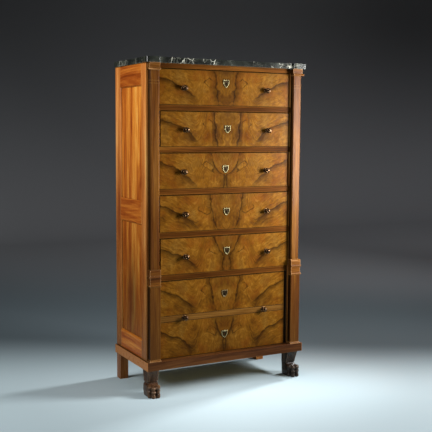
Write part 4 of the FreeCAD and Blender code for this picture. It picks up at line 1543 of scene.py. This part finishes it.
@dataclass
class Case:
    """The fixed pieces.

    Attributes:
        dresser: Gives nodes their finishes.
        chamfer: Depth of the chamfer on the pilasters' front.
        above_collar: A height at which the pilasters have their upper shaft.
        recess_shade_depth: Depth of the near-black painted shade on the front of the runners.
    """

    dresser: Dresser
    chamfer: float = 0.0065
    above_collar: float = 1.0
    recess_shade_depth: float = 0.03

    def build(self) -> None:
        """Dresses every fixed piece."""
        # Painted shade on the pilasters' flanks, from where their sides start behind the chamfer.
        shaft = replace(PILASTER, returns=self.returns())
        for side in ("left_", "right_"):
            self.dresser.dress(side + "corner_post", SIDE_FRAME)
            self.dresser.dress(side + "rear_post", SIDE_FRAME)
            self.dresser.dress(side + "side_rails", SIDE_RAIL)
            self.dresser.dress(side + "side_panels", SIDE_PANEL)
            self.dresser.dress(side + "pilaster", shaft)
            self.dresser.dress(side + "pilaster_mouldings", PILASTER_MOULDING)
        PawFoot("left_", PAW).build()
        # Painted shade: the right paw takes a darker copy of the carved walnut.
        PawFoot("right_", replace(PAW, name="right_paw_walnut_painted_shade", tones=CARVED_SHADED)).build()
        for node in ("top_rail", "drawer_rails"):
            self.dresser.dress(node, FRONT_RAIL)
        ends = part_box("plinth")[1][0] - MILLIMETRE
        self.dresser.dress("plinth", replace(PLINTH_BAR, ends=ends))
        self.dresser.dress("marble_top", MARBLE)
        for node in ("top_board", "bottom_board", "back_frame"):
            self.dresser.dress(node, PINE)
        self.dresser.dress("back_panels", PINE_UPRIGHT)
        # Painted shade: near-black fronts of the runners, which show in the recesses beside the
        # drawers.
        runner = replace(PINE_RUNNER, recess_shade_depth=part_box("drawer_runners")[0][1] + self.recess_shade_depth)
        for node in ("drawer_runners", "drawer_stops"):
            self.dresser.dress(node, runner)

    def returns(self) -> tuple[float, float, float]:
        """Finds where the sides of the pilasters start, behind their chamfered fronts.

        Returns:
            That depth on the lower shaft and on the upper one, and the height between them.
        """
        corners = self.dresser.corners("left_pilaster")
        upper = min(corner.y for corner in corners if corner.z > self.above_collar)
        lower = min(corner.y for corner in corners)
        step = max(corner.z for corner in corners if corner.y < lower + MILLIMETRE)
        return (lower + self.chamfer, upper + self.chamfer, step + MILLIMETRE)


# ------------------------------------------------------------------ the drawers
@dataclass
class Knobs:
    """The two turned bronze knobs of one drawer, in millimetres.

    Attributes:
        drawer: Name of the drawer.
        profile: Radius and reach of the points that the turned profile passes through.
        shank_width: Width of the square shank through the front.
        shank_length: Its length.
        sides: Corners round the knob.
    """

    drawer: str
    profile: tuple[tuple[float, float], ...] = (
        (11.6, 0.0), (11.8, 1.2), (10.6, 2.6), (9.0, 2.9), (8.4, 4.2), (6.4, 4.8), (5.6, 6.4),
        (6.0, 8.6), (8.6, 10.8), (11.4, 13.4), (12.3, 16.8), (11.6, 20.6), (9.6, 23.4), (8.0, 24.4),
        (7.2, 24.2), (6.2, 25.2), (3.6, 26.5), (0.0, 26.9))
    shank_width: float = 6.0
    shank_length: float = 22.0
    sides: int = 40

    def build(self) -> None:
        """Turns both knobs in one mesh, with their square shanks."""
        low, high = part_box(self.drawer + "_knobs")
        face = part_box(self.drawer + "_front")[0][1]
        radius = (high[2] - low[2]) / 2
        width, length = self.shank_width * MILLIMETRE, self.shank_length * MILLIMETRE
        size = Matrix.Diagonal((width, length, width, 1))
        line = [(across * MILLIMETRE, reach * MILLIMETRE)
                for across, reach in smoothed(self.profile, 3)]
        mesh = bmesh.new()
        for x in (low[0] + radius, high[0] - radius):
            foot = Vector((x, face, (low[2] + high[2]) / 2))
            spun(mesh, [(0.0, line[0][1]), *line], foot, self.sides)
            shank = Matrix.Translation(foot + Vector((0, length / 2, 0)))
            bmesh.ops.create_cube(mesh, size=1.0, matrix=shank @ size)
        made = piece(mesh, self.drawer + "_turned_knobs", DARK_BRONZE, self.drawer)
        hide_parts(self.drawer + "_knobs")


@dataclass
class KeyholeRim:
    """The raised rim and two pins of a shield-shaped keyhole plate, in millimetres.

    Attributes:
        drawer: Body that carries it.
        name: The piece's name.
        place: Middle of the plate on the face of the drawer, in metres.
        finish: Its finish.
        half_width: Half the width of the plate.
        half_height: Half its height.
        shield: One side of its outline, from the peak by way of the shoulder, the flank and the
            waist to the point, as shares of half the width and half the height.
        plate: Its thickness.
        width: Width of the rim.
        proud: Height of the rim above the plate.
        bevel: Width of the rim's rounded edges.
        pin: Half sizes of a pin's head.
        pin_place: Height of the pins as a share of half the plate's height.
        bend_steps: Parts that each bend of the outline has.
    """

    drawer: str
    name: str
    place: Vector
    finish: Finish
    half_width: float = 15.0
    half_height: float = 18.0
    shield: tuple[tuple[float, float], ...] = (
        (0.0, 1.0), (0.3, 0.78), (0.92, 0.92), (1.0, 0.3), (0.82, -0.3), (0.46, -0.72), (0.0, -1.0))
    plate: float = 1.4
    width: float = 1.9
    proud: float = 1.5
    bevel: float = 0.6
    pin: tuple[float, float, float] = (1.1, 0.9, 1.1)
    pin_place: float = 0.66
    bend_steps: int = 6

    def outline(self) -> list[Vector]:
        """Draws the shield from its peak down one side and up the other.

        Returns:
            The corners of the outline.
        """
        corners = [(across * self.half_width, up * self.half_height) for across, up in self.shield]
        side = corners[:3]
        for start, middle, end in (corners[2:5], corners[4:]):
            for index in range(1, self.bend_steps + 1):
                t = index / self.bend_steps
                side.append(tuple(
                    a * (1 - t) * (1 - 2 * t) + b * 4 * t * (1 - t) + c * t * (2 * t - 1)
                    for a, b, c in zip(start, middle, end)))
        mirror = [(-x, z) for x, z in reversed(side[1:-1])]
        return [Vector((x, 0, z)) for x, z in side + mirror]

    def build(self) -> None:
        """Raises the rim and sets the pins."""
        mesh = bmesh.new()
        face = mesh.faces.new([mesh.verts.new(corner) for corner in self.outline()])
        bmesh.ops.recalc_face_normals(mesh, faces=[face])
        rim = bmesh.ops.inset_region(mesh, faces=[face], thickness=self.width,
                                     use_boundary=True, use_even_offset=True)["faces"]
        bmesh.ops.delete(mesh, geom=[face], context="FACES")
        grown = bmesh.ops.extrude_face_region(mesh, geom=rim)["geom"]
        lifted = [item for item in grown if isinstance(item, bmesh.types.BMVert)]
        bmesh.ops.translate(mesh, verts=lifted, vec=(0, -self.proud, 0))
        top = [edge for edge in mesh.edges
               if all(vertex in lifted for vertex in edge.verts) and len(edge.link_faces) == 2
               and any(abs(other.normal.y) < 0.5 for other in edge.link_faces)]
        bmesh.ops.recalc_face_normals(mesh, faces=mesh.faces)
        bmesh.ops.bevel(mesh, geom=top, offset=self.bevel, offset_type="OFFSET", segments=2,
                        profile=0.5, affect="EDGES", material=-1)
        pin_height = self.half_height * self.pin_place
        for height in (pin_height, -pin_height):
            ball(mesh, (0, 0, height), self.pin)
        lift = Vector((0, -self.plate * MILLIMETRE, 0))
        bmesh.ops.transform(mesh, verts=mesh.verts, matrix=Matrix.Translation(self.place + lift)
                            @ Matrix.Scale(MILLIMETRE, 4))
        bmesh.ops.recalc_face_normals(mesh, faces=mesh.faces)
        piece(mesh, self.name, self.finish, self.drawer)


@dataclass
class Drawer:
    """One drawer.

    Attributes:
        dresser: Gives nodes their finishes.
        name: First part of its nodes' names.
        leaf: Number of its veneer leaf.
        bells: Shape of the figure's bell in each leaf.
        band: The plain strip between two leaves, or nothing.
    """

    dresser: Dresser
    name: str
    leaf: int
    bells: tuple[Bell, ...]
    band: tuple[float, float] | None = None

    def build(self) -> None:
        """Dresses the drawer's pieces and adds its knobs and keyhole rims."""
        low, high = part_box(self.name + "_front")
        middle = (low[0] + high[0]) / 2
        bottoms = (low[2],) if self.band is None else (low[2], self.band[1])
        veneer = Veneer(self.name + "_veneer", 0.27, self.leaf, self.bells, middle, bottoms,
                        high[2], low[1], self.band)
        finishes = {
            "_front": veneer,
            "_linings": WAXED_OAK,
            "_bottom": WAXED_OAK_BOTTOM,
            "_lock": DULL_BRASS if self.band is None else BLACK_BRASS,
            "_bolt": OLD_STEEL,
        }
        for node, finish in finishes.items():
            self.dresser.dress(self.name + node, finish)
        Knobs(self.name).build()
        for number, height in enumerate(self.keyholes(low[1]), 1):
            tarnished = self.band is not None and number == 1
            KeyholeRim(self.name, f"{self.name}_keyhole_rim_{number}",
                       Vector((middle, low[1], height)),
                       TARNISHED_BRASS if tarnished else RUBBED_BRASS).build()

    def keyholes(self, face: float) -> list[float]:
        """Finds the middle of each keyhole plate on the front.

        Args:
            face: Depth of the front's face.

        Returns:
            The heights, highest first.
        """
        heights = sorted((corner.z for corner in self.dresser.corners(self.name + "_lock")
                          if corner.y < face - MILLIMETRE), reverse=True)
        plates = [[heights[0]]]
        for height in heights[1:]:
            if plates[-1][-1] - height > PLATE_GAP:
                plates.append([])
            plates[-1].append(height)
        return [(plate[0] + plate[-1]) / 2 for plate in plates]


def corners() -> list[list[float]]:
    """Lowest and highest corner of what shows, as plain lists."""
    return [[float(part) for part in corner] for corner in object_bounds()]


def main() -> None:
    """Builds everything in order."""
    logging.basicConfig(level=logging.INFO, format="%(name)s: %(message)s")
    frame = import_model()
    Studio().build()
    dresser = Dresser(frame)
    Case(dresser).build()
    for leaf, (name, bells) in enumerate(BELLS.items()):
        band = DEEP_BAND if name == "deep_drawer" else None
        Drawer(dresser, name, leaf, bells, band).build()


if __name__ == "__main__":
    main()
